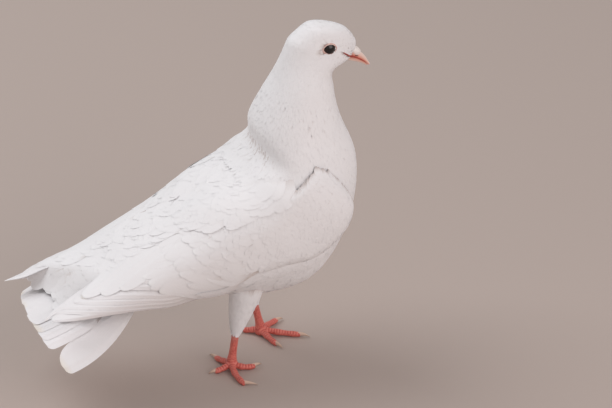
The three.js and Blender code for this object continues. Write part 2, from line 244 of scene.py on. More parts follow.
def between(table, xs, ys, x, y):
    """The table's value at x and y: the mean of its four nearest entries, the nearer ones weighing more."""
    i = np.clip((x - xs[0]) / (xs[1] - xs[0]), 0, len(xs) - 1.001)
    j = np.clip((y - ys[0]) / (ys[1] - ys[0]), 0, len(ys) - 1.001)
    i0, j0 = i.astype(int), j.astype(int)
    i, j = i - i0, j - j0
    return ((table[i0, j0] * (1 - j) + table[i0, j0 + 1] * j) * (1 - i)
            + (table[i0 + 1, j0] * (1 - j) + table[i0 + 1, j0 + 1] * j) * i)


def sheet_point(side):
    """The wing's face as a sheet: s along the spine; the table turns a height in mm into an angle."""
    @surface
    def point(s, height, lift):
        return wing_point(s, side * between(UNROLLED, UNROLL_S, UNROLL_HEIGHT, s, height), lift)
    return point


def sheet_height(s, angle):
    """The other way round: how many millimetres an angle lies above the wing's lower edge."""
    table = lower_arc[:, None] - arc
    return between(table, UNROLL_S, UNROLL_ANGLE, np.atleast_1d(s), np.atleast_1d(angle))


def shield_point(side):
    """The shield between its edges: s along the spine, q from 0 at the upper edge to 1 at the lower."""
    def point(s, q, lift=0.0):
        top, bottom = edges_at(SHIELD_EDGES, np.atleast_1d(s))
        return wing_point(s, side * (top + (bottom - top) * q), lift)
    return point


print("wing at its highest, mm:", sheet_height(UNROLL_S, edges_at(WING_EDGES, UNROLL_S)[0]).max().round(1))

# %% The back's chart
MANTLE_LIFT = 0.5  # how proud of the wing the scapulars lie at the shoulder, mm


@surface
def mantle_point(s, angle, lift):
    """The back and scapulars: the body at the middle of the back, turning into the cloak towards the wing.

    The two are mixed by a smooth step of the angle over the wing's upper edge. Towards the rump the middle
    rises on to the cloak too, which roofs the gap between the wings.
    """
    row = smooth(STATIONS, SLICES, s)
    top = edges_at(WING_EDGES, s)[0]
    share = ease(abs(angle) / top) * ease((214 - s) / 26)
    share = np.maximum(share, ease((140 - s) / 35))[..., None]
    proud = 0.2 + (WING_LIFT + MANTLE_LIFT - 0.1) * ease((s[..., None] - 100) / 50)
    radii = row[..., BODY] * (1 - share) + (row[..., CLOAK] + proud) * share
    return slice_point(row, angle, radii, 1.0, lift)


print("middle of the back at the shoulder, mm:", mantle_point(SHOULDER, 0).round(1)[0])

# %% Tail fan
TAIL_ROOT, TAIL_END = np.array([-80, 81.0]), np.array([-157, 58.0])  # x and z, mm
TAIL_HALF_WIDTHS = np.array([[27], [33], [41], [47], [50], [50.5]])  # at even steps from root to end, mm
TAIL_DROOP, TAIL_ROLL = 15.0, math.radians(4)


@surface
def tail_point(p, q, lift):
    """Root to end by p; q from -1 to 1 across. Height falls by droop times q to the 2.6, plus the roll.

    On the left, where the wing rests on the tail, the droop only comes in towards the end.
    """
    half = smooth(np.linspace(0, 1, 6), TAIL_HALF_WIDTHS, p)[..., 0]
    reach = p * (1 - 0.15 * q**2 * p)
    x, z = (TAIL_ROOT[:, None] + np.multiply.outer(TAIL_END - TAIL_ROOT, reach.ravel()))
    droop = TAIL_DROOP * np.where(q > 0, 0.2 + 0.8 * np.clip(p, 0, 1) ** 1.5, 1.0)
    z = z.reshape(p.shape) - droop * abs(q) ** 2.6 + half * q * math.sin(TAIL_ROLL) + lift
    return np.stack([x.reshape(p.shape), half * q, z], -1)


print("tail's end at left, middle and right, mm:", tail_point(1, [1, 0, -1]).round(1).tolist())

# %% Legs
# foot, ankle and top of the thigh in mm; each toe's headings in degrees at its root, its end and its claw's
# end, then how far the toe and its claw reach from the foot, mm
LEGS = {
    "right": {
        "foot": (-18, -18, 7), "ankle": (-14, -17.5, 34), "thigh": (-6, -21, 72),
        "toes": {
            "hind": ((122, 114, 112), (16, 23.5)), "inner": ((-50, -20, -6), (15.5, 21)),
            "middle": ((-104, -89, -71), (25, 29)), "outer": ((-160, -168, -172), (13.5, 18)),
        },
    },
    "left": {
        "foot": (15.5, 18.5, 7), "ankle": (9.5, 18, 34), "thigh": (15, 21, 72),
        "toes": {
            "hind": ((146, 148, 150), (12, 18.5)), "inner": ((-78, -75, -72), (20, 26)),
            "middle": ((-30, -27, -28), (28, 35)), "outer": ((38, 36, 32), (20, 25.5)),
        },
    },
}
SIDES = {"right": -1, "left": 1}


def bend(t, start, middle, end):
    """A curve drawn by three points, which weigh as (1 - t) squared, 2t(1 - t) and t squared."""
    t = np.asarray(t)[..., None]
    return (1 - t) ** 2 * np.array(start) + 2 * t * (1 - t) * np.array(middle) + t**2 * np.array(end)


def tube_point(curve, t, angle, wide, high, top):
    """Round the curve's point at t: aside by sine times width, up by cosine times height."""
    here, ahead = curve(t), curve(t + 1e-3) - curve(t - 1e-3)
    aside = unit(np.cross(np.broadcast_to(top, ahead.shape), ahead))
    up = unit(np.cross(ahead, aside))
    return here + aside * (np.sin(angle) * wide)[..., None] + up * (np.cos(angle) * high)[..., None]


AHEAD, UPWARD = (1.0, 0, 0), (0, 0, 1.0)


def leg_point(side):
    """The feathered leg: a tube round a bent line. Its radius is 3 mm plus 10.2 times (1 - t) to the 1.2."""
    leg = LEGS[side]
    below = np.array(leg["ankle"]) * 0.7 + np.array(leg["foot"]) * 0.3

    @surface
    def point(t, angle, lift):
        radius = 3.0 + 10.2 * np.clip(1 - t, 0, None) ** 1.2 + lift
        return tube_point(lambda at: bend(at, leg["thigh"], leg["ankle"], below), t, angle, radius, radius,
                          AHEAD)
    return point


for side_name in SIDES:
    print(side_name, "leg's front, top and bottom, mm:", leg_point(side_name)([0, 1], 0).round(1).tolist())

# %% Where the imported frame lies
# the eye's middle in these numbers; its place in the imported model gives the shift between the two
EYE_AT = np.array([55.2, 8.7, 229.6])
low, high = (np.array(corner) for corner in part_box("eye_left"))
SHIFT = (low + high) / 2 * 1000 - EYE_AT
print("shift to the packed frame, mm:", SHIFT.round(3))

# %% [markdown]
# ## Making meshes
# Every feather here is a closed, very flat tube: a row of points over the top from rim to rim, and one
# point below. A single sheet would be lighter, but it has no thickness to catch the light and no inside.
# Thousands of tubes are one array, and one call puts that array into a mesh. The same call makes the
# single tubes, balls and bands, such as a shank, an eye or a lid.

# %% Rings and balls
def rings_of(places, around):
    """Two arrays, rings by points: the place of each ring, and the angle of each point round it."""
    return np.meshgrid(places, np.linspace(0, 2 * math.pi, around + 1)[:-1], indexing="ij")


def globe(rings, around, cap=0.02):
    """A ball of radius 1: the cosine along its axis, then the sine times cosine and sine of the turn."""
    polar, turn = rings_of(np.linspace(cap, math.pi - cap, rings), around)
    return np.cos(polar), np.sin(polar) * np.cos(turn), np.sin(polar) * np.sin(turn)


print("points on a ball of 40 rings:", globe(40, 48)[0].size)

# %% Tubes to mesh
def tubes(name, grid, maps=None, lie=None, sharp=0, band=False):
    """One mesh from closed tubes: grid[k, i, j] is point j of ring i of tube k, in mm.

    Sides are quads between neighbouring rings. An end is one face with all the ring's points, but a band
    has no ends: its last ring joins its first. Edges sharper than the angle sharp are kept crisp.
    """
    count, rings, around = grid.shape[:3]
    index = np.arange(count * rings * around).reshape(count, rings, around)
    ends = np.concatenate([index[:, 0, ::-1], index[:, -1]]).reshape(-1, around)
    whole = grid
    if band:
        index, whole = (np.concatenate([x, x[:, :1]], 1) for x in (index, grid))
        ends = ends[:0]
    beside = np.roll(index, -1, 2)
    side = np.stack([index[:, :-1], beside[:, :-1], beside[:, 1:], index[:, 1:]], -1).reshape(-1, 4)
    if signed_volume(whole) < 0:
        side, ends = side[:, ::-1], ends[:, ::-1]
    corners = np.concatenate([side.ravel(), ends.ravel()]).astype(np.int32)
    starts = np.concatenate([np.arange(len(side)) * 4, len(side) * 4 + np.arange(len(ends)) * around])
    mesh = bpy.data.meshes.new(name)
    mesh.vertices.add(count * rings * around)
    mesh.vertices.foreach_set("co", ((grid.reshape(-1, 3) + SHIFT) / 1000).astype(np.float32).ravel())
    mesh.loops.add(len(corners))
    mesh.loops.foreach_set("vertex_index", corners)
    mesh.polygons.add(len(starts))
    mesh.polygons.foreach_set("loop_start", starts.astype(np.int32))
    mesh.update(calc_edges=True)
    mesh.validate()
    mesh.polygons.foreach_set("use_smooth", np.ones(len(mesh.polygons), bool))
    for map_name, places in (maps or {}).items():
        layer = mesh.uv_layers.new(name=map_name)
        layer.uv.foreach_set("vector", places.reshape(-1, 2)[corners].astype(np.float32).ravel())
    if lie is not None:
        attribute = mesh.attributes.new("Lie", "FLOAT_VECTOR", "POINT")
        attribute.data.foreach_set("vector", lie.astype(np.float32).ravel())
    if sharp:
        mesh.set_sharp_from_angle(angle=math.radians(sharp))
    piece = bpy.data.objects.new(name, mesh)
    bpy.context.scene.collection.objects.link(piece)
    return piece


def signed_volume(grid):
    """Six times the volume inside the rings' sides: each quad's two triangles with the middle, added up."""
    middle = grid.mean(axis=(1, 2), keepdims=True)
    a = grid - middle
    b = np.roll(a, -1, axis=2)
    a0, b0, b1, a1 = a[:, :-1], b[:, :-1], b[:, 1:], a[:, 1:]
    return np.einsum("kijc,kijc->", a0, np.cross(b0, b1)) + np.einsum("kijc,kijc->", a0, np.cross(b1, a1))


ball_volume = abs(signed_volume(np.stack(globe(40, 48), -1)[None])) / 6
print("volume of a ball of radius 1:", ball_volume.round(2))

# %% Finished pieces
triangles_made = []


def finished(piece, material, slot, *nodes):
    """Gives a piece its material, body and the nodes it stands for, and prints its size. slot is not used.
    """
    piece.data.materials.clear()
    piece.data.materials.append(material)
    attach(piece, "root")
    if nodes:
        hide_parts(*nodes)
    triangles = len(piece.data.loops) - 2 * len(piece.data.polygons)
    triangles_made.append(triangles)
    size = [round(1000 * d) for d in piece.dimensions]
    print(f"{piece.name}: {triangles} triangles, {size} mm")


# %% [markdown]
# ## Laying feathers
# A feather grows from a root, lies on the surface and points along the lie of the coat. It starts low and
# ends high, so that each one's tip covers the roots behind it, as roof tiles do. Copies of one feather
# scattered over the body would stand off where it bends. Here a vane's points are all on the chart, so it
# follows every bend. The same functions serve every chart: they turn "forwards" and "aside" in space into
# steps of that chart's own two numbers.

# %% Feather shapes
VANE_UV_MM = 10.0  # a unit of the map Vane, which places the barbs
PATCH = 0.003  # how large each vane's patch is on the map OFBake


def outline(u, widest, quill):
    """Half width: a parabola from the quill's share up to 1 at the widest place, then a quarter circle."""
    early = 1 - (1 - quill) * (1 - np.clip(u / widest, 0, 1)) ** 2
    late = np.sqrt(np.clip(1 - np.clip((u - widest) / (1 - widest), 0, 1) ** 2, 0, 1))
    return np.where(u < widest, early, late)


def crowd(rings):
    """Ring places along a feather, closer towards its tip: 1 less (1 - share) to the 1.6, up to 0.996."""
    return (1 - (1 - np.linspace(0, 1, rings)) ** 1.6) * 0.996


print("half widths of a feather at its rings:", outline(crowd(7), 0.6, 0.25).round(2))

# %% Closed vanes
def weave(name, chart, path, step, left, right, lift, across, thick, seed, bake):
    """Closed vanes on a chart: each point is the shaft's place plus the step aside times the width there.

    path[k, i] is the shaft's place on the chart, step[k, i] the chart's step for 1 mm aside, left and right
    the vane's widths in mm, lift[k, i, j] the height of the column at share across[j] from -1 to 1. A last
    column in the middle, lower by thick, closes the vane from below. Lie is kept on every point: the share
    along, the share across and the vane's own random number. On OFBake each vane has a patch at its root.
    """
    random = np.random.default_rng(seed)
    v = np.append(across, 0.0)
    width = np.where(v < 0, right[..., None], left[..., None]) * v
    places = path[..., None, :] + step[..., None, :] * width[..., None]
    middle = len(across) // 2
    height = np.concatenate([lift, lift[..., middle:middle + 1] - thick[..., None]], -1)
    points = chart(places[..., 0], places[..., 1], height)
    shaft = points[:, :, middle]
    along = np.pad(np.linalg.norm(np.diff(shaft, axis=1), axis=-1), ((0, 0), (1, 0))).cumsum(1)
    count, rings = path.shape[:2]
    tone = random.random(count)[:, None, None]
    full = np.broadcast_to(v, (count, rings, len(v)))
    share = (along / along[:, -1:])[..., None]
    lie = np.stack(np.broadcast_arrays(share, abs(full), tone), -1)
    vane = np.stack([along[..., None] + 37 * tone + 0 * full, width], -1) / VANE_UV_MM
    spread = np.stack([lie[..., 0] - 0.5, full / 2], -1) * PATCH
    low, high = bake.min(0), bake.max(0)
    root = 0.02 + 0.96 * (bake - low) / np.maximum(high - low, 1e-9)
    return tubes(name, points, {"Vane": vane, "OFBake": root[:, None, None] + spread}, lie, sharp=60)


# %% From space to a chart
def chart_steps(chart, at, small=1e-3):
    """Which way and how far in space one unit of each of the chart's numbers goes, and the normal.

    Each is the chart's change over a small step. The normal is their cross product, turned outwards.
    """
    here = chart(at[:, 0], at[:, 1])
    first = (chart(at[:, 0] + small, at[:, 1]) - here) / small
    second = (chart(at[:, 0], at[:, 1] + small) - here) / small
    out = chart(at[:, 0], at[:, 1], 1.0) - here
    normal = unit(np.cross(first, second))
    return first, second, normal * np.sign((normal * out).sum(-1, keepdims=True))


def in_chart(first, second, vectors):
    """The chart steps that give each vector, by least squares: the two-by-two normal equations."""
    a, b, c = ((x * y).sum(-1) for x, y in ((first, first), (first, second), (second, second)))
    d, e = (first * vectors).sum(-1), (second * vectors).sum(-1)
    return np.stack([c * d - b * e, a * e - b * d], -1) / (a * c - b * b)[:, None]


def flattened(vectors, normal):
    """Unit vectors in the surface: each less its part along the normal."""
    return unit(vectors - (vectors * normal).sum(-1, keepdims=True) * normal)


_, by_angle, _ = chart_steps(body_point, np.array([[SHOULDER, 0]]))
print("a radian at the shoulder is, mm:", np.linalg.norm(by_angle).round(1))

# %% Feathers from roots
def lay(name, chart, at, heading, length, width, *, depth, arch, thick, stray, seed, rings=7, columns=5,
        widest=0.6, tip=0.05):
    """Feathers that lie on a chart from their roots, along a heading in space. Lengths are in mm.

    Height: depth below the surface at the root, tip above it at the end, by u to the 0.8; each column falls
    by arch times the half width times its share squared. stray is the spread of the heading.
    """
    random = np.random.default_rng(seed)
    count = len(at)
    sizes = length, width, depth, tip
    length, width, depth, tip = (np.broadcast_to(size, count).astype(float) for size in sizes)
    first, second, normal = chart_steps(chart, at)
    forward = flattened(heading, normal)
    aside = np.cross(normal, forward)
    forward = unit(forward + aside * random.normal(0, stray, (count, 1)))
    middle = at + in_chart(first, second, forward) * (length / 2)[:, None]
    first, second, normal = chart_steps(chart, middle)
    forward = flattened(forward, normal)
    aside = np.cross(normal, forward)
    u = crowd(rings)
    path = at[:, None] + in_chart(first, second, forward)[:, None] * (length[:, None] * u)[..., None]
    step = np.broadcast_to(in_chart(first, second, aside)[:, None], path.shape)
    half = width[:, None] * outline(u, widest, 0.25)
    across = np.linspace(-1, 1, columns)
    climb = (depth + tip)[:, None]
    level = -depth[:, None] + climb * (u**0.8 + random.normal(0, 0.05, (count, 1)))
    lean = random.normal(0, 0.03, (count, 1, 1)) * width[:, None, None]
    lift = level[..., None] - arch * half[..., None] * across**2 + lean * across
    flat = np.broadcast_to(thick * (1 - 0.5 * u), (count, rings))
    return weave(name, chart, path, step, half, half, lift, across, flat, seed + 1, at)


def scatter(chart, lowest, highest, cell, seed, candidates=60000):
    """Roots about a cell apart: of many random places, the first in each small cube of space is kept."""
    random = np.random.default_rng(seed)
    at = random.uniform(lowest, highest, (candidates, 2))
    cubes = np.floor(chart(at[:, 0], at[:, 1]) / cell).astype(int)
    return at[np.sort(np.unique(cubes, axis=0, return_index=True)[1])]


print("roots 10 mm apart on the back:", len(scatter(mantle_point, (92, -1), (212, 1), 10, seed=1)))

# %% [markdown]
# ## Finishes
# White feathers are keratin, a clear protein full of tiny holes, which scatter all light. Their barbs give
# a satin look, a little brighter along the grain. Bare skin on the feet is coral red and scaled, the bill
# is pink horn with a chalky swelling over the nostrils, and the eye is dark and wet.
#
# A finish could be painted as an image, but nodes keep it sharp at any size. A finish reads where a point
# is, or what its piece keeps on its points. Constants go straight on to the shader.

# %% Node helpers
def linear(hex_colour):
    """sRGB hex to the linear values that a shader takes, with alpha 1."""
    values = np.array([int(hex_colour[i:i + 2], 16) for i in (1, 3, 5)]) / 255
    return (*np.where(values <= 0.04045, values / 12.92, ((values + 0.055) / 1.055) ** 2.4), 1.0)


print("sRGB mid grey is, linear:", linear("#808080")[0].round(3))


def node(tree, kind, settings=None, **links):
    """Adds a node. A setting is an attribute, a socket by name or number, or a ramp's stops of place and hex
    colour; a link's name is its socket's, with _ for a space, or _ and the socket's number."""
    added = tree.nodes.new("ShaderNode" + kind)
    for key, value in (settings or {}).items():
        if key == "stops":
            while len(added.color_ramp.elements) < len(value):
                added.color_ramp.elements.new(0.5)
            for element, (place, colour) in zip(added.color_ramp.elements, value):
                element.position, element.color = place, linear(colour)
        elif isinstance(key, int) or key not in added.bl_rna.properties:
            added.inputs[key].default_value = value
        else:
            setattr(added, key, value)
    for key, source in links.items():
        socket = added.inputs[int(key[1:])] if key[0] == "_" else added.inputs[key.replace("_", " ")]
        tree.links.new(source, socket)
    return added


def finish_tree(name):
    """A new material with an empty tree."""
    made = bpy.data.materials.new(name)
    made.use_nodes = True
    made.node_tree.nodes.clear()
    print("finish:", name)
    return made, made.node_tree


def shaded(tree, colour=None, bump=None, **constants):
    """Ends a tree: the shader with its constants, a colour, and a bump of strength, depth in mm, height."""
    constants = {key.replace("_", " "): value for key, value in constants.items()}
    shader = node(tree, "BsdfPrincipled", constants)
    node(tree, "OutputMaterial", Surface=shader.outputs[0])
    if colour:
        tree.links.new(colour.outputs[0], shader.inputs["Base Color"])
    if bump:
        strength, depth_mm, height = bump
        bumps = node(tree, "Bump", {"Strength": strength, "Distance": depth_mm / 1000}, Height=height)
        tree.links.new(bumps.outputs[0], shader.inputs["Normal"])


# %% Feather finish
def feather_finish(name, deep, shade, light, tip, barb_mm, barb_height, roughness):
    """White vanes: colour from deep to tip by the share along, barbs as a sine of the slanted place."""
    made, tree = finish_tree(name)
    lie = node(tree, "Attribute", {"attribute_name": "Lie"}).outputs["Vector"]
    lie = node(tree, "SeparateXYZ", Vector=lie).outputs
    vane = node(tree, "UVMap", {"uv_map": "Vane"}).outputs[0]
    vane = node(tree, "SeparateXYZ", Vector=vane).outputs
    side = node(tree, "Math", {"operation": "ABSOLUTE"}, _0=vane[1]).outputs[0]
    slant = node(tree, "Math", {"operation": "MULTIPLY_ADD", 1: -0.9}, _0=side, _2=vane[0]).outputs[0]
    place = node(tree, "CombineXYZ", X=vane[0], Y=vane[1], Z=lie[2]).outputs[0]
    # barbs bend and part over about 3 mm, which is 10 mm, a unit of the map Vane, over 3
    blur = node(tree, "TexNoise", {"Scale": 3.0, "Detail": 2.0}, Vector=place).outputs[0]
    uneven = node(tree, "Math", {"operation": "MULTIPLY", 1: 5.0}, _0=blur).outputs[0]
    turns = 2 * math.pi * VANE_UV_MM / barb_mm
    waves = node(tree, "Math", {"operation": "MULTIPLY_ADD", 1: turns}, _0=slant, _2=uneven).outputs[0]
    barbs = node(tree, "Math", {"operation": "SINE"}, _0=waves).outputs[0]
    tone = node(tree, "Math", {"operation": "MULTIPLY_ADD", 1: -0.12}, _0=lie[2], _2=lie[0]).outputs[0]
    # painted shade at the root, where the feathers above cover it, then white from halfway, then the tip
    stops = [(0.0, deep), (0.25, shade), (0.5, light), (0.93, light), (1.0, tip)]
    colour = node(tree, "ValToRGB", {"stops": stops}, Fac=tone).outputs[0]
    # painted shade: faint grey lines multiplied into the colour by the same sine as the barbs' bump
    groove = node(tree, "MapRange", {1: 0.2, 2: 1.0, 3: 0.0, 4: 0.22}, _0=barbs).outputs[0]
    barb_shaded = node(tree, "MixRGB", {"blend_type": "MULTIPLY", 2: linear("#ece8e6")}, _0=groove, _1=colour)
    shaded(tree, barb_shaded, (0.6, barb_height, barbs), Roughness=roughness, IOR=1.54, Specular_IOR_Level=0.35,
           Sheen_Weight=0.12, Sheen_Roughness=0.5)
    return made


# Contour feather: white keratin that grew as fine barbs, loosely hooked side by side. To the eye it is soft
# and dull, with a faint silk along the barbs and no highlight. Real barbs lie closer than half a
# millimetre, which is too fine to show, so they are drawn 0.8 mm apart.
# the first two colours are painted shade at the covered root
DOWN = feather_finish("soft_contour_feather", "#cfc6c3", "#e9e5e4", "#f5f4f5", "#f8f8f8", 0.8, 0.03, 0.72)
# Flight feather: the same keratin grown thicker, its barbs hooked tight into a stiff sheet. To the eye it
# is smoother and more like satin, with lines across it, and the worn tip is faintly cream. Its barbs are
# also too fine to show, so they are drawn 1 mm apart.
# the first two colours are painted shade at the covered root; the cream is the worn tip's own
FLIGHT = feather_finish("satin_flight_feather", "#dcd6d4", "#eeebea", "#f5f3f4", "#f1e9dd", 1.0, 0.045, 0.6)


# %% Skin under the coat
def down_finish():
    """Two pale colours by a noise of about a millimetre, which lifts the surface too."""
    made, tree = finish_tree("white_down_over_skin")
    place = node(tree, "TexCoord").outputs["Object"]
    tufts = node(tree, "TexNoise", {"Scale": 900.0, "Detail": 3.0}, Vector=place).outputs[0]
    colour = node(tree, "ValToRGB", {"stops": [(0.3, "#d9cfca"), (0.7, "#f0ecea")]}, Fac=tufts)
    shaded(tree, colour, (0.5, 0.4, tufts), Roughness=0.9)
    return made


# Down: loose white tufts over pale pink skin, seen only between feathers. To the eye it is mottled and
# shadowed, without any shine.
UNDER = down_finish()

# %% [markdown]
# ## The skin
# One closed skin runs from the crown to the rump, over the bulk of the folded wings and down both legs. It
# starts as six overlapping closed tubes: trunk, crown, two legs and two pads under the wings. A voxel remesh
# melts them into one surface. Exact unions would leave creases where they meet, and the real skin has none.
# It lies under the coat by the coat's depth.

# %% Skin
SKIN_DEPTH = 1.0  # how far the skin lies under the surface that the feathers lie on, mm


def melted(name, parts, voxel, rounds):
    """Joins tubes and turns them into one surface: voxel remesh, then a few rounds of smoothing."""
    bpy.ops.object.select_all(action="DESELECT")
    for part in parts:
        part.select_set(True)
    bpy.context.view_layer.objects.active = parts[0]
    bpy.ops.object.join()
    whole = parts[0]
    remesh = whole.modifiers.new("melt", "REMESH")
    remesh.mode, remesh.voxel_size, remesh.use_smooth_shade = "VOXEL", voxel / 1000, True
    soften = whole.modifiers.new("soften", "SMOOTH")
    soften.factor, soften.iterations = 0.5, rounds
    for modifier in list(whole.modifiers):
        bpy.ops.object.modifier_apply(modifier=modifier.name)
    whole.name = whole.data.name = name
    return whole


trunk = body_point(*rings_of(np.linspace(RUMP + 0.4, BROW, 110), 96), -SKIN_DEPTH)
away, turn = rings_of(np.linspace(0.05, 3.5, 60), 96)
ahead = -away * np.cos(turn) * np.where(np.cos(turn) < 0, FACE_LENGTH, NAPE_LENGTH)
crown = head_point(away * np.sin(turn), ahead, -0.6)
parts = [tubes("skin_trunk", trunk[None]), tubes("skin_crown", crown[None])]
rows, q = np.meshgrid(np.linspace(120, 217, 30), np.linspace(0.03, 0.97, 24), indexing="ij")
for side_name, side in SIDES.items():
    leg, pad = leg_point(side_name), shield_point(side)
    parts.append(tubes("skin_leg", leg(*rings_of(np.linspace(0, 1, 20), 24), -1.0)[None]))
    faces = [pad(rows, q, -1.7), pad(rows, q, -7.0)[:, ::-1]]
    parts.append(tubes("skin_wing", np.concatenate(faces, 1)[None]))
skin = melted("skin", parts, voxel=1.3, rounds=6)
print("skin:", len(skin.data.polygons), "faces after melting")

# %% Eye sockets
SOCKET_DEPTH, SOCKET_RADIUS = 3.0, 6.0  # mm


def eye_sockets(skin):
    """Sinks the skin behind each eye: the depth times one less the squared distance over the radius."""
    points = np.empty(len(skin.data.vertices) * 3)
    skin.data.vertices.foreach_get("co", points)
    points = points.reshape(-1, 3) * 1000 - SHIFT
    off = (points - EYE_AT)[:, [0, 2]] / SOCKET_RADIUS
    points[:, 1] -= np.sign(points[:, 1]) * SOCKET_DEPTH * np.clip(1 - (off**2).sum(-1), 0, 1)
    skin.data.vertices.foreach_set("co", ((points + SHIFT) / 1000).ravel())
    skin.data.update()


eye_sockets(skin)
finished(skin, UNDER, "plumage", "trunk", "neck", "head", "thigh_right", "thigh_left")

# %% [markdown]
# ## The coat on the body
# Pigeons have sleek, close plumage: short bristles at the bill, small round feathers on the head, narrow
# hackles down the neck and broad rounded feathers over breast, belly and back. Roots are scattered with a
# chosen spacing, each feather is laid from its root along the lie, and one array holds a whole region. Even
# rows would be simpler, but they show as stripes where the body tapers.

# %% Lie of the coat
def along(chart, sense=-1):
    """Towards the tail: the way in space of the chart's first number, or against it with sense -1."""
    return lambda at: sense * chart_steps(chart, at)[0]


def coat(name, chart, at, heading, length, width, **shape):
    """Feathers at these roots as one finished piece."""
    finished(lay(name, chart, at, unit(heading(at)), length, width, **shape), DOWN, "plumage")


BILL_ROOT = np.array([70.0, 0, 221])


def from_bill(at):
    """Away from the bill's root within 18 mm of it, mixed by a smooth step into down and back at 45 mm."""
    away = head_point(at[:, 0], at[:, 1]) - BILL_ROOT
    near = 1 - ease((np.linalg.norm(away, axis=-1, keepdims=True) - 18) / 27)
    return near * unit(away) + (1 - near) * unit(np.array([-0.45, 0, -1.0]))


# %% Head
HEAD_REACH = 4.6  # how far out the head's coat goes, in half widths of the crown
EYE_RING = np.array([5.0, 4.0])  # half length and half height round the eye that feathers leave free, mm
GAPE_ON_FACE = [(65.2, 10.7, 224.6), (68.3, 9.2, 221.9), (71.2, 6.9, 219.2)]  # from its corner to the bill


def eye_clearance(points):
    """1 on the rim of the bare ring, less inside it, from the eye's middle in the side view."""
    off = (points - EYE_AT)[..., [0, 2]] / EYE_RING
    return np.linalg.norm(off, axis=-1)


def gape_clearance(points):
    """Distance in mm from the nearest of 15 points on the mouth's line on the face, on either side."""
    line = smooth(np.arange(3.0), GAPE_ON_FACE, np.linspace(0, 2, 15))
    return np.linalg.norm(points[:, None, ::2] - line[:, ::2], axis=-1).min(1)


def head_coat(name, cell, near, far, seed):
    """Feathers whose roots lie between near and far mm from the bill's root, leaving eye and gape bare.

    Their length grows with that distance from 2.6 to 9 mm. One that would cross the eye's rim is shortened,
    and left out if it still does.
    """
    at = scatter(head_point, (-HEAD_REACH, -5.5), (HEAD_REACH, HEAD_REACH * FACE_LENGTH), cell, seed=seed,
                 candidates=160000)
    even = at[:, 1] / np.where(at[:, 1] > 0, FACE_LENGTH, NAPE_LENGTH)
    at = at[np.hypot(at[:, 0], even) < HEAD_REACH]
    here = head_point(*at.T)
    reach = np.linalg.norm(here - BILL_ROOT, axis=-1)
    length = 2.6 + 6.4 * ease((reach - 3) / 34)
    way = unit(from_bill(at))
    ends = here + way * length[:, None]
    length = np.where(eye_clearance(ends) < 1.0, length * 0.45, length)
    ends = here + way * length[:, None]
    bare = (reach < near) | (reach >= far) | (eye_clearance(here) < 1.0) | (eye_clearance(ends) < 1.0)
    bare |= (gape_clearance(here) < 0.8) | (gape_clearance(ends) < 0.6)
    at, length = at[~bare], length[~bare]
    coat(name, head_point, at, from_bill, length, 0.35 + 0.16 * length, rings=5, columns=3,
         depth=0.1 + 0.035 * length, tip=0.0, arch=0.08, thick=0.035, stray=0.07, seed=seed + 1)


head_coat("face_feathers", 1.0, 3.2, 22, 11)
head_coat("head_feathers", 1.45, 22, 90, 13)

# %% Neck
WING_RISE, RISE_REACH = 1.0, 14  # how far the breast rises against the wing, and over what distance, mm


def near_wing(s, angle):
    """1 under the shield, falling by a smooth step to 0 at a distance outside its edges."""
    turned = abs((angle + math.pi) % (2 * math.pi) - math.pi)
    top, bottom = edges_at(SHIELD_EDGES, s)
    inside = np.minimum(turned - top, bottom - turned) * smooth(STATIONS, SLICES, s)[..., 6]
    return ease(1 + np.minimum(inside, WING_FRONT - s) / RISE_REACH)


@surface
def breast_point(s, angle, lift):
    """The body, risen a little where its feathers lie against the folded wing."""
    return body_point(s, angle, lift + WING_RISE * near_wing(s, angle))


@surface
def neck_point(s, angle, lift):
    """The breast, and over the shoulders a little above the mantle, so that the hackles fall over it."""
    share = (ease((edges_at(WING_EDGES, s)[0] - abs(angle)) / 0.5) * ease((232 - s) / 20))[..., None]
    return (1 - share) * breast_point(s, angle, lift) + share * mantle_point(s, angle, lift + 0.35)


NECK_BASE, NECK_LENGTH = 204, 71  # along the spine, mm
OVER_SHOULDER = 10  # how much further down the roots start between the wings, mm

at = scatter(neck_point, (NECK_BASE - OVER_SHOULDER, -math.pi), (NECK_BASE + NECK_LENGTH, math.pi), 2.4,
             seed=21)
inside = ease((edges_at(WING_EDGES, at[:, 0])[0] - abs(at[:, 1])) / 0.5)
at = at[at[:, 0] > NECK_BASE - OVER_SHOULDER * inside]
share = np.clip((at[:, 0] - NECK_BASE) / NECK_LENGTH, 0, 1)
coat("neck_hackles", neck_point, at, along(neck_point), 19 - 9 * share, 2.1 - 0.6 * share,
     widest=0.55, rings=6, columns=3, depth=0.5, arch=0.15, thick=0.045, stray=0.05, seed=22)

# %% Breast, belly and back
at = scatter(breast_point, (98, math.radians(40)), (214, math.radians(320)), 4.4, seed=31)
coat("breast_and_belly", breast_point, at, along(breast_point), 22, 4.6, depth=0.7, arch=0.05, thick=0.06,
     stray=0.08, seed=32)
at = scatter(mantle_point, (92, math.radians(-56)), (212, math.radians(56)), 5.0, seed=41)
top = edges_at(WING_EDGES, at[:, 0])[0]
# how far beyond the wing's upper edge the roots reach, in radians: further behind, not at all in front
fringe = 0.04 + 0.12 * ease((150 - at[:, 0]) / 30) - 0.35 * ease((at[:, 0] - 176) / 20)
at = at[abs(at[:, 1]) < top + fringe]
coat("back_and_scapulars", mantle_point, at, along(mantle_point), 27, 6.0, rings=9, depth=0.7,
     tip=0.03, arch=0.02, thick=0.06, stray=0.05, seed=42)

# %% [markdown]
# ### Rump and the coverts at the tail
# Above and below, long soft feathers bridge from the body to the tail. Their chart is a mixture of two
# charts: all body at its front, all tail at its rear. A bent sheet would close the gap with less work, but
# the real rump closes it with feathers, whose tips show one by one against the tail.

# %% Rump
COVER_END = 0.84  # how far over the tail the roots reach, as a share of the way from the back


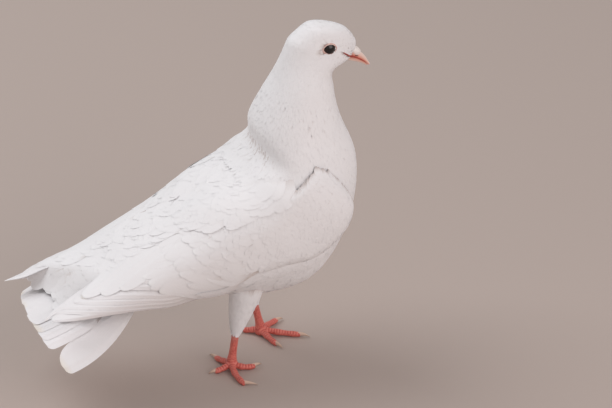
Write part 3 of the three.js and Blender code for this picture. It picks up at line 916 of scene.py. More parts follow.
@surface
def rump_point(a, q, lift):
    """Above the tail: the roof between the wings' upper edges, sinking on to the tail at its rear end.

    a runs from 0 on the back to 1 over the tail, q from -1 to 1 from wing to wing. It sinks by a smooth step
    of a, which comes later at the left, where the far wing rests on the tail.
    """
    s = 106 - 90 * a
    row = smooth(STATIONS, SLICES, s)
    roof = slice_point(row, q * (edges_at(WING_EDGES, s)[0] + 0.1), row[..., CLOAK], 1.0, lift - 0.2)
    share = ease((a - 0.6 - 0.1 * q - 0.12 * np.maximum(q, 0)) / 0.4)[..., None]
    p = (TAIL_ROOT[0] - row[..., 0]) / (TAIL_ROOT[0] - TAIL_END[0])
    return (1 - share) * roof + share * tail_point(p, 0.3 + 0.6 * q, lift + 1.6)


@surface
def vent_point(a, q, lift):
    """The same below the tail, narrower, and mixed by a smooth step of a itself."""
    share = ease(a)[..., None]
    front = body_point(104 - 50 * a, math.pi - q * 1.25, lift)
    return (1 - share) * front + share * tail_point(0.05 + 0.5 * a, q * 0.62, -lift - 2.0)


for name, cover, right_end, seed in (("rump_feathers", rump_point, 0.72, 51),
                                     ("undertail_coverts", vent_point, COVER_END, 53)):
    at = scatter(cover, (-0.1, -1), (COVER_END, 1), 5.4, seed=seed)
    at = at[at[:, 0] < right_end + (COVER_END - right_end) * ease(at[:, 1] / 0.8)]
    coat(name, cover, at, along(cover, 1), 28, 6.6, rings=9, depth=0.7, tip=0.03, arch=0.02, thick=0.05,
         stray=0.04, seed=seed + 1)

# %% Feathered legs
for side_name in SIDES:
    leg = leg_point(side_name)
    at = scatter(leg, (0.02, -math.pi), (0.88, math.pi), 2.2, seed=61)
    share = at[:, 0]
    coat(f"leg_feathers_{side_name}", leg, at, along(leg, 1), 12 - 10 * share, 2.3 - 1.6 * share, rings=6,
         columns=3, depth=0.9, tip=0.2, arch=0.1, thick=0.12, stray=0.1, seed=62)

# %% [markdown]
# ## The wings
# A folded wing shows three sorts of feather on its shield: small lesser coverts at the bend, rows of larger
# median and greater coverts, and the ends of the secondaries. Each inner feather lies over the next outer
# one. The longest, the primaries, run on from under the shield, and only their outer edges show as lines.
# The small coverts are scattered as on the body. The larger ones stand in rows on the real wing, so here
# each row is placed by where its tips end.

# %% Small coverts
def wing_face(side):
    """The wing's outer face by s and by the angle from the middle of the back, on one side."""
    return lambda s, angle, lift=0.0: wing_point(s, side * np.asarray(angle), lift)


def on_shield(at, margin):
    """Which roots lie inside the shield's edges by a margin in mm: angle times radius, and the way ahead."""
    top, bottom = edges_at(SHIELD_EDGES, at[:, 0])
    radius = smooth(STATIONS, SLICES, at[:, 0])[:, 6]
    inside = np.minimum(at[:, 1] - top, bottom - at[:, 1]) * radius
    return np.minimum(inside, WING_FRONT - at[:, 0]) > margin


for side_name, side in SIDES.items():
    face = wing_face(side)
    for name, span, cell, size, seed in (("bend", (176, 224), 2.5, (14, 6.5), 71),
                                         ("lesser", (140, 184), 4.0, (18, 14), 74)):
        at = scatter(face, (span[0], 0.2), (span[1], 2.5), cell, seed=seed)
        top, bottom = edges_at(SHIELD_EDGES, at[:, 0])
        # at the front the roots go on over the rim, further at its lower side, so that it doesn't show
        over = np.where(at[:, 1] > (top + bottom) / 2, 4.0, 1.5) * ease((at[:, 0] - 172) / 10)
        at = at[on_shield(at, 0.3 - over) & (on_shield(at + [0, 0.05], 0) | (at[:, 0] > 180))]
        top, bottom = edges_at(SHIELD_EDGES, at[:, 0])
        # they end at a slanting line, behind which the larger rows begin
        at = at[at[:, 0] > 144 + 22 * (at[:, 1] - top) / (bottom - top)]
        share = (at[:, 0] - span[0]) / (span[1] - span[0])
        length = size[0] + (size[1] - size[0]) * share
        coat(f"{name}_coverts_{side_name}", face, at, along(face), length, 0.9 + 0.2 * length, rings=8,
             depth=0.02 * length + 0.25, arch=0.03, thick=0.05, stray=0.05, seed=seed + 1)

# %% Rows of coverts and secondaries
SHIELD_REAR = 69, 91  # how far along the spine the shield's rear edge lies, at its upper and lower end


def wing_row(count, ahead, length, lowest, random):
    """Roots of a row across the shield whose tips end a distance ahead of its rear edge."""
    q = lowest * (np.arange(count) + 0.5) / count + random.normal(0, 0.01, count)
    tips = SHIELD_REAR[1] - (SHIELD_REAR[1] - SHIELD_REAR[0]) * (1 - q) + ahead
    return np.stack([tips + random.normal(0, 0.8, count) + length, q], -1)


ROWS = {  # how far ahead of the rear edge each row's tips lie and how many there are; length, half width,
    # the lowest place across the shield, depth of the root and height of the tip
    "secondaries": (((0, 10),), 60, 9.0, 0.76, 1.0, -0.8),
    "greater_coverts": (((20, 12), (31, 13)), 36, 6.5, 0.86, 0.8, -0.54),
    "median_coverts": (((39, 14), (46, 15), (53, 16)), 26, 5.2, 0.92, 0.6, -0.25),
}
for side_name, side in SIDES.items():
    shield = shield_point(side)
    for name, (rows, length, half, lowest, depth, tip) in ROWS.items():
        random = np.random.default_rng(81)
        at = np.concatenate([wing_row(count, ahead, length, lowest, random) for ahead, count in rows])
        coat(f"{name}_{side_name}", shield, at, along(shield), length, half, rings=12, columns=7,
             widest=0.72, depth=depth, tip=tip, arch=0.03, thick=0.05, stray=0.015, seed=91)

# %% [markdown]
# ### Flight feathers
# Primaries, tertials and tail feathers are stiff and long, with a raised shaft. A primary's outer vane is
# narrow and its inner vane broad. There are few of them and each has its own place, so they come from a
# table and are not scattered. Each lies a little lower than the next.

# %% Shapes of flight feathers
SHAFT_ACROSS = np.array([-1, -0.55, -0.2, 0, 0.045, 0.5, 1.0])  # columns across, the shaft at 0


def flight_outline(u, widest=0.86):
    """Nearly even in width: the same outline with a stout quill, widest near the tip."""
    return outline(u, widest, 0.55)


def flight_feathers(name, chart, path, aside, left, right, stack, across, thick, seed):
    """Feathers with a ridge of 0.2 mm along the shaft, vanes that fall by 0.25 mm to their edges.

    aside is how much of the chart's second number is 1 mm. On OFBake their roots alternate between two
    lines, so that no patch touches the next.
    """
    ridge = np.where(across == 0, 0.2, 0.0)
    lift = stack[:, None, None] + ridge - 0.25 * across**2 + 0 * path[..., :1]
    step = np.stack(np.broadcast_arrays(0 * path[..., 0], aside), -1)
    order = np.arange(len(path))
    roots = np.stack([order / (len(path) - 1), 0.5 + 0.2 * (order % 2)], -1)
    return weave(name, chart, path, step, left, right, lift, across, np.full(path.shape[:2], thick), seed,
                 roots)


print("half widths of a flight feather at its rings:", flight_outline(crowd(7)).round(2))

# %% Primaries
# outermost first: where each tip of the right wing lies along the spine, how high the outer edge runs
# above the wing's lower edge at its lowest, and how fast it rises from there to the tip and to the root
PRIMARIES = np.array([
    [13, 0.2, 3.0, 0], [9, 0.8, 7.0, 1], [11, 4.8, 7.6, 3], [31, 9.3, 7.6, 4], [37, 14, 7.6, 4.5],
    [56, 20.8, 7.6, 6], [62, 26, 7.6, 6], [67, 31, 7.6, 6], [71, 36, 7.6, 6], [75, 41, 7.6, 6],
])
PRIMARY_ROOTS, PRIMARY_LOWEST = 134, 65  # along the spine: the roots, and where the outer edges run lowest
# how far each lies under the shield's feathers, outermost first, mm
PRIMARY_DEPTHS = np.array([1.5, 1.25, 1.0, 0.75, 0.5, 0.3, 0.22, 0.15, 0.07, 0])
LEFT_REACH, LEFT_HANG = 9, 10  # the left wing's tips lie further back and hang on the tail's side, mm


def primaries_coat(name, side):
    """Ten feathers. An outer edge's height is its lowest plus a rise times the square of the way from there.

    The shaft runs 2.6 mm inside the edge, and the inner vane reaches up to the wing's upper edge.
    """
    u = crowd(30)
    tip, low, front, rear = (PRIMARIES[:, i:i + 1] for i in range(4))
    tip = tip - LEFT_REACH * (side > 0)
    s = PRIMARY_ROOTS + (tip - PRIMARY_ROOTS) * u
    edge = low + np.where(s < PRIMARY_LOWEST, front, rear) * (s - PRIMARY_LOWEST) ** 2 / 1000
    edge = edge - LEFT_HANG * (side > 0) * ease((85 - s) / 45)
    top = sheet_height(s, edges_at(WING_EDGES, s)[0])
    shape = flight_outline(u)
    outer = np.minimum(2.6, 1.2 + 0.1 * top) * shape
    shaft = np.minimum(edge + 2.6, top - 3)
    inner = np.clip(top - shaft - 0.3, 3, 26 + LEFT_HANG * (side > 0)) * shape
    path = np.stack([s, shaft], -1)
    return flight_feathers(name, sheet_point(side), path, 1.0, inner, outer, -0.95 - PRIMARY_DEPTHS,
                           SHAFT_ACROSS, 0.3, 101)


# %% Tertials
# how far below the wing's upper edge each shaft runs, and where its tip lies along the spine
TERTIALS = np.array([[7, 38], [15, 50], [22, 63]])
TERTIAL_ROOTS = 152  # along the spine


def tertials_coat(name, side):
    """Three feathers whose shafts run a fixed distance below the wing's upper edge, closer at the root."""
    u = crowd(20)
    drop, tip = TERTIALS[:, :1], TERTIALS[:, 1:]
    s = TERTIAL_ROOTS + (tip - TERTIAL_ROOTS) * u
    top = sheet_height(s, edges_at(WING_EDGES, s)[0])
    path = np.stack([s, top - drop * (0.45 + 0.55 * ease((TERTIAL_ROOTS - s) / 60))], -1)
    shape = flight_outline(u, 0.8)
    inner = np.clip(top - path[..., 1] - 0.2, 3, 9.5) * shape
    stack = -0.6 - 0.06 * np.arange(len(TERTIALS))
    return flight_feathers(name, sheet_point(side), path, 1.0, inner, 9.5 * shape, stack, SHAFT_ACROSS,
                           0.05, 103)


for side_name, side in SIDES.items():
    vanes = primaries_coat(f"primary_feathers_{side_name}", side)
    finished(vanes, FLIGHT, "flight_feather", f"primaries_{side_name}")
    vanes = tertials_coat(f"tertials_{side_name}", side)
    finished(vanes, DOWN, "flight_feather", f"wing_{side_name}")

# %% Tail feathers
TAIL_SPOTS = np.append(-0.95, np.linspace(-0.6, 0.92, 11))  # shafts across the tail, the right one alone
TAIL_ACROSS = np.array([-1, -0.5, -0.09, 0, 0.09, 0.5, 1.0])


def tail_coat(name):
    """Twelve feathers, the middle ones on top. The right-hand one stands off.

    Widths are in mm: the outer vane a twelfth of the tail's half width, the inner one 12. The one that
    stands off is broader and rounded, and its root is tucked in towards the others by an exponential.
    """
    u = crowd(26)
    count = len(TAIL_SPOTS)
    random = np.random.default_rng(111)
    end = 1 - 0.015 * random.random((count, 1))
    p = 0.02 + (end - 0.02) * u
    half = smooth(np.linspace(0, 1, 6), TAIL_HALF_WIDTHS, p)[..., 0]
    alone = np.arange(count)[:, None] == 0
    tuck = np.where(alone, 0.4 * np.exp(-p / 0.12), 0.0)
    path = np.stack([p, TAIL_SPOTS[:, None] + tuck], -1)
    shape = flight_outline(u, 0.94)
    outer = half / 12 * shape
    inner = np.where(alone, 14.0 * flight_outline(u, 0.72), 12.0 * shape)
    nearer = TAIL_SPOTS[:, None] < 0
    left, right = np.where(nearer, inner, outer), np.where(nearer, outer, inner)
    stack = 0.9 - 0.4 * abs(np.arange(count) - 5.8)
    return flight_feathers(name, tail_point, path, 1 / half, left, right, stack, TAIL_ACROSS, 0.3, 112)


finished(tail_coat("tail_feathers"), FLIGHT, "flight_feather", "tail")

# %% [markdown]
# ## Head details
# The eye is a wet ball, dark all over, in a bare wrinkled ring of lid. The ring reaches from the ball to the
# cheek, so its outer rim has to be found on the cheek: a few Newton steps on the body's own formula do it.
# Pressing the ring on to the finished skin would work too, but the formula gives its height exactly.

# %% Eye finishes
# The cornea: clear living tissue, kept smooth and wet by the film of tears, over a dark iris and pupil. The
# film lies over it as a second clear layer. It gives the eye a black depth and one small sharp highlight.
IRIS_AND_RIM = 1.8, 3.6  # between these distances from the eye's middle the colour changes, mm


def eye_finish():
    """Brown-black by the distance from the eye's middle, very smooth, with the film of tears as a coat."""
    made, tree = finish_tree("wet_dark_eye")
    place = node(tree, "TexCoord").outputs["Object"]
    axis = node(tree, "SeparateXYZ", Vector=place).outputs
    flat = node(tree, "CombineXYZ", X=axis[0], Z=axis[2]).outputs[0]
    middle = [(EYE_AT[0] + SHIFT[0]) / 1000, 0, EYE_AT[2] / 1000]
    off = node(tree, "VectorMath", {"operation": "DISTANCE", 1: middle}, _0=flat).outputs["Value"]
    near, far = (mm / 1000 for mm in IRIS_AND_RIM)
    share = node(tree, "MapRange", {1: near, 2: far}, _0=off).outputs[0]
    stops = [(0.0, "#050404"), (0.3, "#0b0706"), (0.45, "#1d0f0a"), (1.0, "#120906")]
    colour = node(tree, "ValToRGB", {"stops": stops}, Fac=share)
    shaded(tree, colour, Roughness=0.12, IOR=1.38, Coat_Weight=1.0, Coat_Roughness=0.02, Coat_IOR=1.34)
    return made


def bare_skin_finish(name, light, dark, grain_mm, depth_mm, roughness):
    """Bare skin: cells of the grain's size as bumps, and a mottled colour at four times the grain."""
    made, tree = finish_tree(name)
    place = node(tree, "TexCoord").outputs["Object"]
    mottle = node(tree, "TexNoise", {"Scale": 250 / grain_mm, "Detail": 3.0}, Vector=place).outputs[0]
    colour = node(tree, "ValToRGB", {"stops": [(0.3, dark), (0.7, light)]}, Fac=mottle)
    grain = node(tree, "TexVoronoi", {"Scale": 1000 / grain_mm}, Vector=place).outputs["Distance"]
    shaded(tree, colour, (0.7, depth_mm, grain), Roughness=roughness, IOR=1.45)
    return made


EYE_GLOSS = eye_finish()
# the eyelid: bare living skin, thin, wrinkled and dry; pale pink with darker folds and a soft sheen
LID_SKIN = bare_skin_finish("bare_pink_lid", "#ecd3ca", "#d0a297", 0.45, 0.05, 0.6)
# the cere: soft swollen skin over the nostrils, dusted white by the powder of the down; chalky, no highlight
CERE_CHALK = bare_skin_finish("powdered_cere", "#f6f1ed", "#e9dcd5", 0.6, 0.08, 0.85)


# %% Eyes and lids
CHEEK = 296.0, math.radians(105)  # a place on the chart near the eye, as a first guess


def cheek_y(x, z):
    """The head's half width at x and z: Newton steps on the body's formula for s and angle."""
    s, angle = (np.full(x.shape, guess) for guess in CHEEK)
    for _ in range(8):
        here = body_point(s, angle)
        by_s = (body_point(s + 1e-3, angle) - here) / 1e-3
        by_angle = (body_point(s, angle + 1e-3) - here) / 1e-3
        miss_x, miss_z = x - here[..., 0], z - here[..., 2]
        det = by_s[..., 0] * by_angle[..., 2] - by_angle[..., 0] * by_s[..., 2]
        s = s + (miss_x * by_angle[..., 2] - by_angle[..., 0] * miss_z) / det
        angle = angle + (by_s[..., 0] * miss_z - miss_x * by_s[..., 2]) / det
    return body_point(s, angle)[..., 1]


BALL = 5.05  # radius of the eyeball, mm
OPENING = np.array([3.9, 3.4])  # half length and half height of the opening between the lids
RING = np.array([5.1, 4.5])  # and of the bare ring's outer rim, which the feathers cover
# mm: how far the lid stands off the ball and sinks under the cheek, how it swells between, its thickness
LID_OFF, LID_SUNK, LID_SWELL, LID_THICK = 0.12, 0.75, 0.42, 1.2


def eyeball(name, side):
    """A ball: rings by the angle from the eye's axis, which points aside."""
    out, x, z = globe(40, 48)
    return tubes(name, (EYE_AT * [1, side, 1] + BALL * np.stack([x, side * out, z], -1))[None])


def lids(name, side):
    """A band round the opening by turn, and by t from the ball out to the cheek by a smooth step.

    Its corners are pinched by the eighth power of a cosine, and a cosine of t lays two folds in it.
    """
    turn, t = np.meshgrid(np.linspace(0, 2 * math.pi, 97)[:-1], np.linspace(0, 1, 13), indexing="ij")
    corner = 1 + 0.10 * np.cos(turn) ** 8
    reach = OPENING + (RING - OPENING) * t[..., None]
    x = EYE_AT[0] + reach[..., 0] * corner * np.cos(turn)
    z = EYE_AT[2] + reach[..., 1] * np.sin(turn) - 0.25 * np.cos(turn)
    inner = OPENING * np.stack([np.cos(turn), np.sin(turn)], -1)
    on_ball = EYE_AT[1] + np.sqrt(BALL**2 - (inner**2).sum(-1)) + LID_OFF
    on_cheek = cheek_y(x, z) - LID_SUNK
    folds = 0.1 * np.cos(2 * math.pi * 2.5 * t) + 0.04 * np.sin(31 * turn) * np.sin(math.pi * t)
    y = on_ball + (on_cheek - on_ball) * ease(t * 1.15 - 0.15)
    y = y + LID_SWELL * np.sin(math.pi * t) ** 0.7 + folds * t
    face = np.stack([x, side * y, z], -1)
    back = face - np.array([0, side * LID_THICK, 0])
    return tubes(name, np.concatenate([face, back[:, ::-1]], 1)[None], band=True)


for side_name, side in SIDES.items():
    finished(eyeball(f"eyeball_{side_name}", side), EYE_GLOSS, "eye", f"eye_{side_name}")
    finished(lids(f"lids_{side_name}", side), LID_SKIN, "cere_skin")

# %% [markdown]
# ### Bill and cere
# Each half of the bill is a bent cone whose cutting edges meet along the mouth line. The line runs back into
# the face as the gape. Over the nostrils sits the cere, two chalky lobes with a groove between. A bill could
# be cut from one solid with a slit, but two halves meet along the mouth as the real ones do.

# %% Bill finishes
def bill_horn_finish():
    """Colour from red at the cutting edge to pale at the ridge, by the height kept in "Lie"."""
    made, tree = finish_tree("bill_horn")
    lie = node(tree, "Attribute", {"attribute_name": "Lie"}).outputs["Vector"]
    lie = node(tree, "SeparateXYZ", Vector=lie).outputs
    stops = [(0.0, "#c9604c"), (0.22, "#dd9a86"), (0.6, "#ecc9bb"), (1.0, "#f1dcd1")]
    colour = node(tree, "ValToRGB", {"stops": stops}, Fac=lie[1])
    place = node(tree, "TexCoord").outputs["Object"]
    # unevenness of about 1.4 mm, coarser than the real horn's fibres so that it shows
    fibres = node(tree, "TexNoise", {"Scale": 700.0, "Detail": 3.0}, Vector=place).outputs[0]
    shaded(tree, colour, (0.35, 0.08, fibres), Roughness=0.42, IOR=1.54)
    return made


# Bill horn: grown keratin over skin full of blood, worn smooth by feeding. It is flesh pink, redder where it
# is thinnest at the cutting edge, and has a broad satin highlight.
BILL_HORN = bill_horn_finish()
# the mouth's corner: thin moist living skin, red and a little shiny
# along the bill's cutting edge its dark red is also painted shade in the slit of the closed mouth
GAPE_SKIN_AND_SHADE = bare_skin_finish("moist_gape_skin_and_mouth_shade", "#b8402f", "#8e2a20", 0.5, 0.03, 0.4)
# the slit of the nostril: bare living skin in its own shadow, dark red-brown and dull
NOSTRIL_DARK = bare_skin_finish("nostril_shadow", "#5b2f2a", "#3c1d1a", 0.5, 0.02, 0.8)

# %% Bill
ROOT_UP, BOW_UP, TIP_UP = (67, 0, 222.7), (80.9, 0, 217.9), (87.8, 0, 206.5)
ROOT_LOW, BOW_LOW, TIP_LOW = (67, 0, 217.3), (80.9, 0, 212.5), (86.3, 0, 206.9)
MOUTH_GAP = 0.14  # how far each cutting edge stands off the mouth line, mm
# for each half: whether it rises or falls from the mouth line, its axis, its share of the width, its height
# over the axis at the root, the power of its arch and how far along the mouth line it reaches
BILL_HALVES = {
    "upper": (1, (ROOT_UP, BOW_UP, TIP_UP), 1.0, 2.9, 0.9, 1.0),
    "lower": (-1, (ROOT_LOW, BOW_LOW, TIP_LOW), 0.86, 2.1, 0.8, 0.95),
}


def mouth_line(t):
    """Halfway between the two bent axes of the bill's halves."""
    return (bend(t, ROOT_UP, BOW_UP, TIP_UP) + bend(t, ROOT_LOW, BOW_LOW, TIP_LOW)) / 2


def bill_width(t):
    """Half width in mm: 4.8 at the root, less 86 percent of it times t to the power of 1.2."""
    return 4.8 * (1 - 0.86 * t**1.2)


def bill_half(name, rise, axis, share, height, power, reach):
    """Rings along the mouth line by t: an arch above it, or below it with rise -1, and a curved floor.

    The arch is a power of a sine, with a shallow groove, a bell curve, low on its left side.
    """
    t = np.linspace(0, 1, 34) * reach
    middle = mouth_line(t)
    ahead = unit(mouth_line(t + 1e-3) - mouth_line(t - 1e-3))
    up = np.cross(ahead, np.array([0, -1.0, 0]))
    up *= np.sign(up[:, 2:])
    high = np.linalg.norm(bend(t, *axis) - middle, axis=-1) + height * (1 - 0.8 * t**1.6)
    turn, floor_y = np.linspace(0, math.pi, 17), np.linspace(-0.8, 0.8, 5)
    y = np.append(np.cos(turn), floor_y)
    arch = np.append(np.sin(turn) ** power, 0.16 * (1 - (floor_y / 0.9) ** 2))
    groove = np.append(1 - 0.05 * np.exp(-(((turn - 0.5) / 0.12) ** 2)), np.ones(5))
    risen = rise * (MOUTH_GAP + high[:, None] * arch * groove)
    section = middle[:, None] + up[:, None] * risen[..., None]
    section[..., 1] += (bill_width(t) * share)[:, None] * y
    lie = np.stack(np.broadcast_arrays(t[:, None], np.clip(arch, 0, 1), 0.5), -1)
    return tubes(name, section[None], lie=lie, sharp=50)


for half_name, shape in BILL_HALVES.items():
    finished(bill_half(f"bill_{half_name}_horn", *shape), BILL_HORN, "bill_horn", f"bill_{half_name}")

# %% Gape
def chain(points, t):
    """A smooth line through the points, at t from 0 to 1."""
    points = np.array(points, float)
    return smooth(np.linspace(0, 1, len(points)), points, t)


def gape_line(side):
    """From the corner of the mouth on the face to the bill and along its cutting edge."""
    t = np.array([0.42, 0.6, 0.78])
    edge = mouth_line(t)
    edge[:, 1] = bill_width(t) * 0.9
    return np.vstack([GAPE_ON_FACE, edge]) * [1, side, 1]


def gape(name, side):
    """A thin tube whose radius swells by a sine to 0.57 mm about the bill's root."""
    points = gape_line(side)
    t, turn = rings_of(np.linspace(0, 1, 40), 10)
    radius = 0.15 + 0.42 * np.sin(math.pi * np.clip(t * 0.95 + 0.08, 0, 1)) ** 0.8
    return tubes(name, tube_point(lambda at: chain(points, at), t, turn, radius * 1.2, radius, UPWARD)[None])


for side_name, side in SIDES.items():
    finished(gape(f"gape_{side_name}", side), GAPE_SKIN_AND_SHADE, "bill_horn")

# %% Cere
CERE_AT, CERE_RADII, CERE_PITCH = np.array([76.6, 0, 219.3]), np.array([4.7, 3.9, 3.1]), math.radians(24)


def cere_lobes(name):
    """An egg pitched down with the bill: a bell curve cuts its groove, products of sines wrinkle it."""
    x, z, y = globe(48, 72)
    groove = 0.2 * np.exp(-((y / 0.16) ** 2)) * np.clip(z + 0.5 + 0.4 * x, 0, 1)
    wrinkles = 0.012 * np.sin(17 * x + 3 * y) * np.sin(9 * y + 2)
    swell = (1 - groove + wrinkles) * (1 + 0.1 * x)
    egg = np.stack([x, y, z], -1) * swell[..., None] * CERE_RADII
    cos, sin = math.cos(CERE_PITCH), math.sin(CERE_PITCH)
    turned = np.stack([egg[..., 0] * cos + egg[..., 2] * sin, egg[..., 1],
                       egg[..., 2] * cos - egg[..., 0] * sin], -1)
    return tubes(name, (CERE_AT + turned)[None])


def nostril(name, side):
    """A slit under the front of each lobe: a thin bent tube, half sunk, its radius a power of a sine."""
    points = np.array([(75.2, 3.35, 217.6), (77.6, 3.1, 216.6), (79.8, 2.2, 215.6)]) * [1, side, 1]
    t, turn = rings_of(np.linspace(0, 1, 16), 8)
    radius = 0.5 * np.sin(math.pi * np.clip(t, 0.04, 0.96)) ** 0.6
    return tubes(name, tube_point(lambda at: chain(points, at), t, turn, radius, radius * 0.7, UPWARD)[None])


finished(cere_lobes("cere_lobes"), CERE_CHALK, "cere_skin", "cere")
for side_name, side in SIDES.items():
    finished(nostril(f"nostril_{side_name}", side), NOSTRIL_DARK, "cere_skin")

# %% [markdown]
# ## Feet
# A pigeon's shank and toes are covered with coral-red scales: broad plates down the front of the shank and
# over each toe, small round ones elsewhere. Shank, ball of the foot and toes are tubes, melted into one
# skin. Plates are then raised on it by where each point lies along and around its nearest tube. Modelled
# one by one, the plates would be separate bits, but real ones are folds of a single skin.

# %% Foot shapes
SHANK_RADIUS, TOE_RADIUS = 2.8, 2.5


def toe_place(leg, reach, heading, height):
    """The point a toe reaches from the foot: reach in mm, heading in degrees from straight ahead."""
    turn = math.radians(heading)
    x, y, _ = leg["foot"]
    return np.array([x + reach * math.cos(turn), y + reach * math.sin(turn), height])


def toe_line(leg, toe):
    """A bend that leaves the foot's middle on its first heading and bears to the second by its end."""
    (first, second, _), (reach, _) = toe
    places = (toe_place(leg, 2, first, 4), toe_place(leg, reach * 0.55, first, TOE_RADIUS),
              toe_place(leg, reach, second, TOE_RADIUS * 0.75))
    return lambda t: bend(t, *places)


def claw_line(leg, toe):
    """A bend from inside the toe's end over a raised middle down to the ground at the claw's tip."""
    (_, second, third), (reach, end) = toe
    places = (toe_place(leg, reach - 1.5, second, TOE_RADIUS * 0.85),
              toe_place(leg, (reach + end) / 2, (second + third) / 2, TOE_RADIUS * 1.25),
              toe_place(leg, end, third, 0.5))
    return lambda t: bend(t, *places)


def shank_line(leg):
    """The straight line from the ankle to the foot."""
    ankle, foot = np.array(leg["ankle"]), np.array(leg["foot"])
    return lambda t: ankle + (foot - ankle) * np.asarray(t)[..., None]


def toe_radius(t):
    """A fall of 24 percent from root to end, times a cosine that swells at each joint."""
    return TOE_RADIUS * (1 - 0.24 * t) * (0.95 + 0.07 * np.cos(5 * math.pi * t))


def shank_radius(t):
    """Slim in the middle and stouter at both ends by the fourth power of the way from the middle."""
    return SHANK_RADIUS * (0.92 + 0.35 * (2 * t - 1) ** 4)


def foot_tube(name, line, radius, top):
    """Round rings about the line; what would lie below the ground is pressed flat on it."""
    t, turn = rings_of(np.linspace(0, 1, 40), 24)
    points = tube_point(line, t, turn, radius(t), radius(t), top)
    points[..., 2] = np.maximum(points[..., 2], 0.0)
    return tubes(name, points[None])


def ball_of_foot(leg):
    """A ball of radius 4.3 mm where the toes meet, pressed flat on the ground."""
    up, x, y = globe(18, 24, 0.05)
    points = 4.3 * np.stack([x, y, up], -1) + [*leg["foot"][:2], 3.8]
    points[..., 2] = np.maximum(points[..., 2], 0.0)
    return tubes("ball", points[None])


# %% Plates on the feet
PLATE_MM = 1.9  # length of one plate
PLATE_RISE = 0.3  # how far a plate stands above the groove behind it, mm


def plates(skin, leg):
    """Raises plates along the normal: each rises as a ramp, drops to the next, and fades round the sides.

    How far up the shank, the plate's height and how much it covers are kept in "Lie" for the colours.
    """
    mesh = skin.data
    points, normals = np.empty(len(mesh.vertices) * 3), np.empty(len(mesh.vertices) * 3)
    mesh.vertices.foreach_get("co", points)
    mesh.vertices.foreach_get("normal", normals)
    points = points.reshape(-1, 3) * 1000 - SHIFT
    normals = normals.reshape(-1, 3)
    t = np.linspace(0, 1, 80)
    nearest = np.full(len(points), np.inf)
    along, facing = np.zeros(len(points)), np.zeros(len(points))
    lines = [(toe_line(leg, toe), UPWARD) for toe in leg["toes"].values()]
    for line, top in lines + [(shank_line(leg), AHEAD)]:
        spots = line(t)
        length = np.append(0, np.linalg.norm(np.diff(spots, axis=0), axis=-1)).cumsum()
        gaps = np.linalg.norm(points[:, None] - spots, axis=-1)
        which = gaps.argmin(1)
        closer = gaps.min(1) < nearest
        nearest = np.where(closer, gaps.min(1), nearest)
        along = np.where(closer, length[which], along)
        ahead = unit(line(t + 1e-3) - line(t - 1e-3))[which]
        upward = unit(np.array(top) - (ahead @ np.array(top))[:, None] * ahead)
        facing = np.where(closer, (normals * upward).sum(-1), facing)
    phase = along / PLATE_MM % 1
    plate = np.minimum(phase * 1.1, (1 - phase) * 6).clip(0, 1) ** 0.8
    cover = ease((facing - 0.05) / 0.5)
    points += normals * (PLATE_RISE * cover * (plate - 0.6))[:, None]
    points[:, 2] = np.maximum(points[:, 2], 0.0)
    mesh.vertices.foreach_set("co", ((points + SHIFT) / 1000).ravel())
    lie = mesh.attributes.new("Lie", "FLOAT_VECTOR", "POINT")
    shank_share = ease((points[:, 2] - 8) / 26)
    lie.data.foreach_set("vector", np.stack([shank_share, plate, cover], -1).astype(np.float32).ravel())
    mesh.update()


def scaled_skin_finish():
    """Light plates and dark grooves by "Lie", cells where there is no plate, paler towards the feathers."""
    made, tree = finish_tree("coral_scaled_skin")
    lie = node(tree, "Attribute", {"attribute_name": "Lie"}).outputs["Vector"]
    lie = node(tree, "SeparateXYZ", Vector=lie).outputs
    place = node(tree, "TexCoord").outputs["Object"]
    # small round scales are about 0.9 mm across
    scales = node(tree, "TexVoronoi", {"Scale": 1100.0}, Vector=place).outputs["Distance"]
    # the red comes and goes over about 4 mm
    mottle = node(tree, "TexNoise", {"Scale": 260.0, "Detail": 3.0}, Vector=place).outputs[0]
    raised = node(tree, "Math", {"operation": "MULTIPLY_ADD", 1: -0.9, 2: 1.0}, _0=scales).outputs[0]
    height = node(tree, "Mix", {"data_type": "FLOAT"}, _0=lie[2], _2=raised, _3=lie[1]).outputs[0]
    tone = node(tree, "Math", {"operation": "MULTIPLY_ADD", 1: 0.5}, _0=mottle, _2=height).outputs[0]
    stops = [(0.25, "#984038"), (0.6, "#c85a50"), (0.95, "#de7d70")]
    colour = node(tree, "ValToRGB", {"stops": stops}, Fac=tone).outputs[0]
    pale = node(tree, "MapRange", {1: 0.45, 2: 1.0, 3: 0.0, 4: 0.55}, _0=lie[0]).outputs[0]
    mixed = node(tree, "MixRGB", {2: linear("#d9a79b")}, _0=pale, _1=colour)
    shaded(tree, mixed, (0.6, 0.12, height), Roughness=0.5, IOR=1.5)
    return made


def claw_finish():
    """Pale at the root, darker towards the worn tip, by the way along the claw kept in "Lie"."""
    made, tree = finish_tree("claw_horn")
    lie = node(tree, "Attribute", {"attribute_name": "Lie"}).outputs["Vector"]
    lie = node(tree, "SeparateXYZ", Vector=lie).outputs
    stops = [(0.0, "#d9bba9"), (0.6, "#cbb09c"), (1.0, "#a78f80")]
    colour = node(tree, "ValToRGB", {"stops": stops}, Fac=lie[0])
    shaded(tree, colour, Roughness=0.4, IOR=1.54)
    return made


# Scaled skin: living skin over bone, its top layer grown into thin plates of horn, worn by walking. It is
# coral red from the blood below. The plates shine a little, and the colour is darker in the grooves between.
SCALED = scaled_skin_finish()
# Claw horn: solid grown keratin, rubbed smooth by the ground. Pale, with a soft satin highlight.
CLAW = claw_finish()

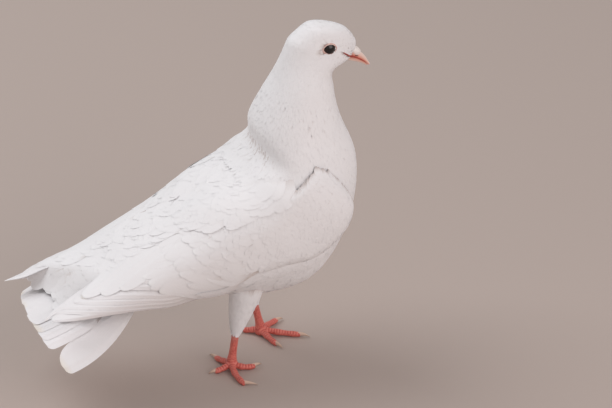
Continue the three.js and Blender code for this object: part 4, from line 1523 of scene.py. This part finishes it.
# %% Both feet
for side_name, leg in LEGS.items():
    parts = [foot_tube("toe", toe_line(leg, toe), toe_radius, UPWARD) for toe in leg["toes"].values()]
    parts += [foot_tube("shank", shank_line(leg), shank_radius, AHEAD), ball_of_foot(leg)]
    foot = melted(f"foot_{side_name}", parts, voxel=0.42, rounds=3)
    plates(foot, leg)
    names = [f"toe_{toe}_{side_name}" for toe in leg["toes"]] + [f"shank_{side_name}"]
    finished(foot, SCALED, "scaled_skin", *names)
    t, turn = rings_of(np.linspace(0, 1, 18), 14)
    taper = 1 - 0.93 * t**1.3
    grid = np.stack([tube_point(claw_line(leg, toe), t, turn, 1.3 * taper, 1.55 * taper, UPWARD)
                     for toe in leg["toes"].values()])
    grid[..., 2] = np.maximum(grid[..., 2], 0.0)
    claws = tubes(f"claws_{side_name}", grid, lie=np.broadcast_to(np.stack([t, t, t], -1), grid.shape))
    finished(claws, CLAW, "claw_horn", *[f"claw_{toe}_{side_name}" for toe in leg["toes"]])

# %% [markdown]
# ## Floor, light and camera
# A plain pale floor, a large soft lamp high on the left behind the bird, as under a bright overcast sky, a
# weaker one from the front and a dim even light from all sides. A small hard lamp would be simpler, but its
# sharp shadows would hide how soft the coat is. The camera looks down at the bird from its right.

# %% Floor
def floor_finish():
    """Uncoated grey card, pressed flat: one even colour, matt, with no highlight."""
    made, tree = finish_tree("matt_grey_card")
    shaded(tree, Base_Color=linear("#b8aaa2"), Roughness=0.9)
    return made


bpy.ops.mesh.primitive_plane_add(size=6, location=(0, 0, 0))
floor = bpy.context.object
floor.name = "floor"
floor.data.materials.append(floor_finish())

# %% Light
SKY_COLOUR, SKY_STRENGTH = "#f6f3f3", 0.48
world = bpy.data.worlds.new("even_sky")
bpy.context.scene.world = world
world.use_nodes = True
world.node_tree.nodes["Background"].inputs["Color"].default_value = linear(SKY_COLOUR)
world.node_tree.nodes["Background"].inputs["Strength"].default_value = SKY_STRENGTH


def lamp(name, place, aim, size, power, colour):
    """A square area lamp at a place, turned to its aim."""
    data = bpy.data.lights.new(name, "AREA")
    data.size, data.energy, data.color = size, power, linear(colour)[:3]
    made = bpy.data.objects.new(name, data)
    made.location = place
    made.rotation_euler = (Vector(aim) - Vector(place)).to_track_quat("-Z", "Y").to_euler()
    bpy.context.scene.collection.objects.link(made)
    print(f"{name}: {power} W, {np.linalg.norm(made.location - Vector(aim)):.2f} m away")


MIDDLE = (0, 0, 0.12)  # what the lamps point at, metres
lamp("sky_panel", (-0.9, 0.9, 1.7), MIDDLE, 1.6, 21, "#fafcff")
lamp("front_fill", (0.7, -1.5, 1.0), MIDDLE, 1.6, 15, "#fff5f4")

# %% Camera
# 20 degrees round towards the tail, 29 above the level, three metres away
TURN, DROP, AWAY = math.radians(20), math.radians(29), 3.0
VIEW_WIDTH = 0.42207  # metres from side to side of the view at the bird
TO_RIGHT, TO_TOP = 0.0400, 0.1014  # how far the view's middle lies from the spine's zero, metres
right = np.array([math.cos(TURN), -math.sin(TURN), 0])
up = np.array([math.sin(TURN) * math.sin(DROP), math.cos(TURN) * math.sin(DROP), math.cos(DROP)])
back = np.array([-math.sin(TURN) * math.cos(DROP), -math.cos(TURN) * math.cos(DROP), math.sin(DROP)])
camera_data = bpy.data.cameras.new("camera")
camera = bpy.data.objects.new("camera", camera_data)
place = SHIFT / 1000 + right * TO_RIGHT + up * TO_TOP + back * AWAY
turned = np.stack([right, up, back], 1).tolist()
camera.matrix_world = Matrix([[*row, at] for row, at in zip(turned, place)] + [[0, 0, 0, 1]])
camera_data.lens = camera_data.sensor_width * AWAY / VIEW_WIDTH
camera_data.clip_end = 20
bpy.context.scene.collection.objects.link(camera)
bpy.context.scene.camera = camera
bpy.context.scene.view_settings.view_transform = "Standard"
print("camera at, metres:", place.round(3), "lens, mm:", round(camera_data.lens))

# %% [markdown]
# ## Size and finish
# The number of pieces and their triangles are printed.

# %% Size
print(len(triangles_made), "pieces,", sum(triangles_made), "triangles, most in one:", max(triangles_made))
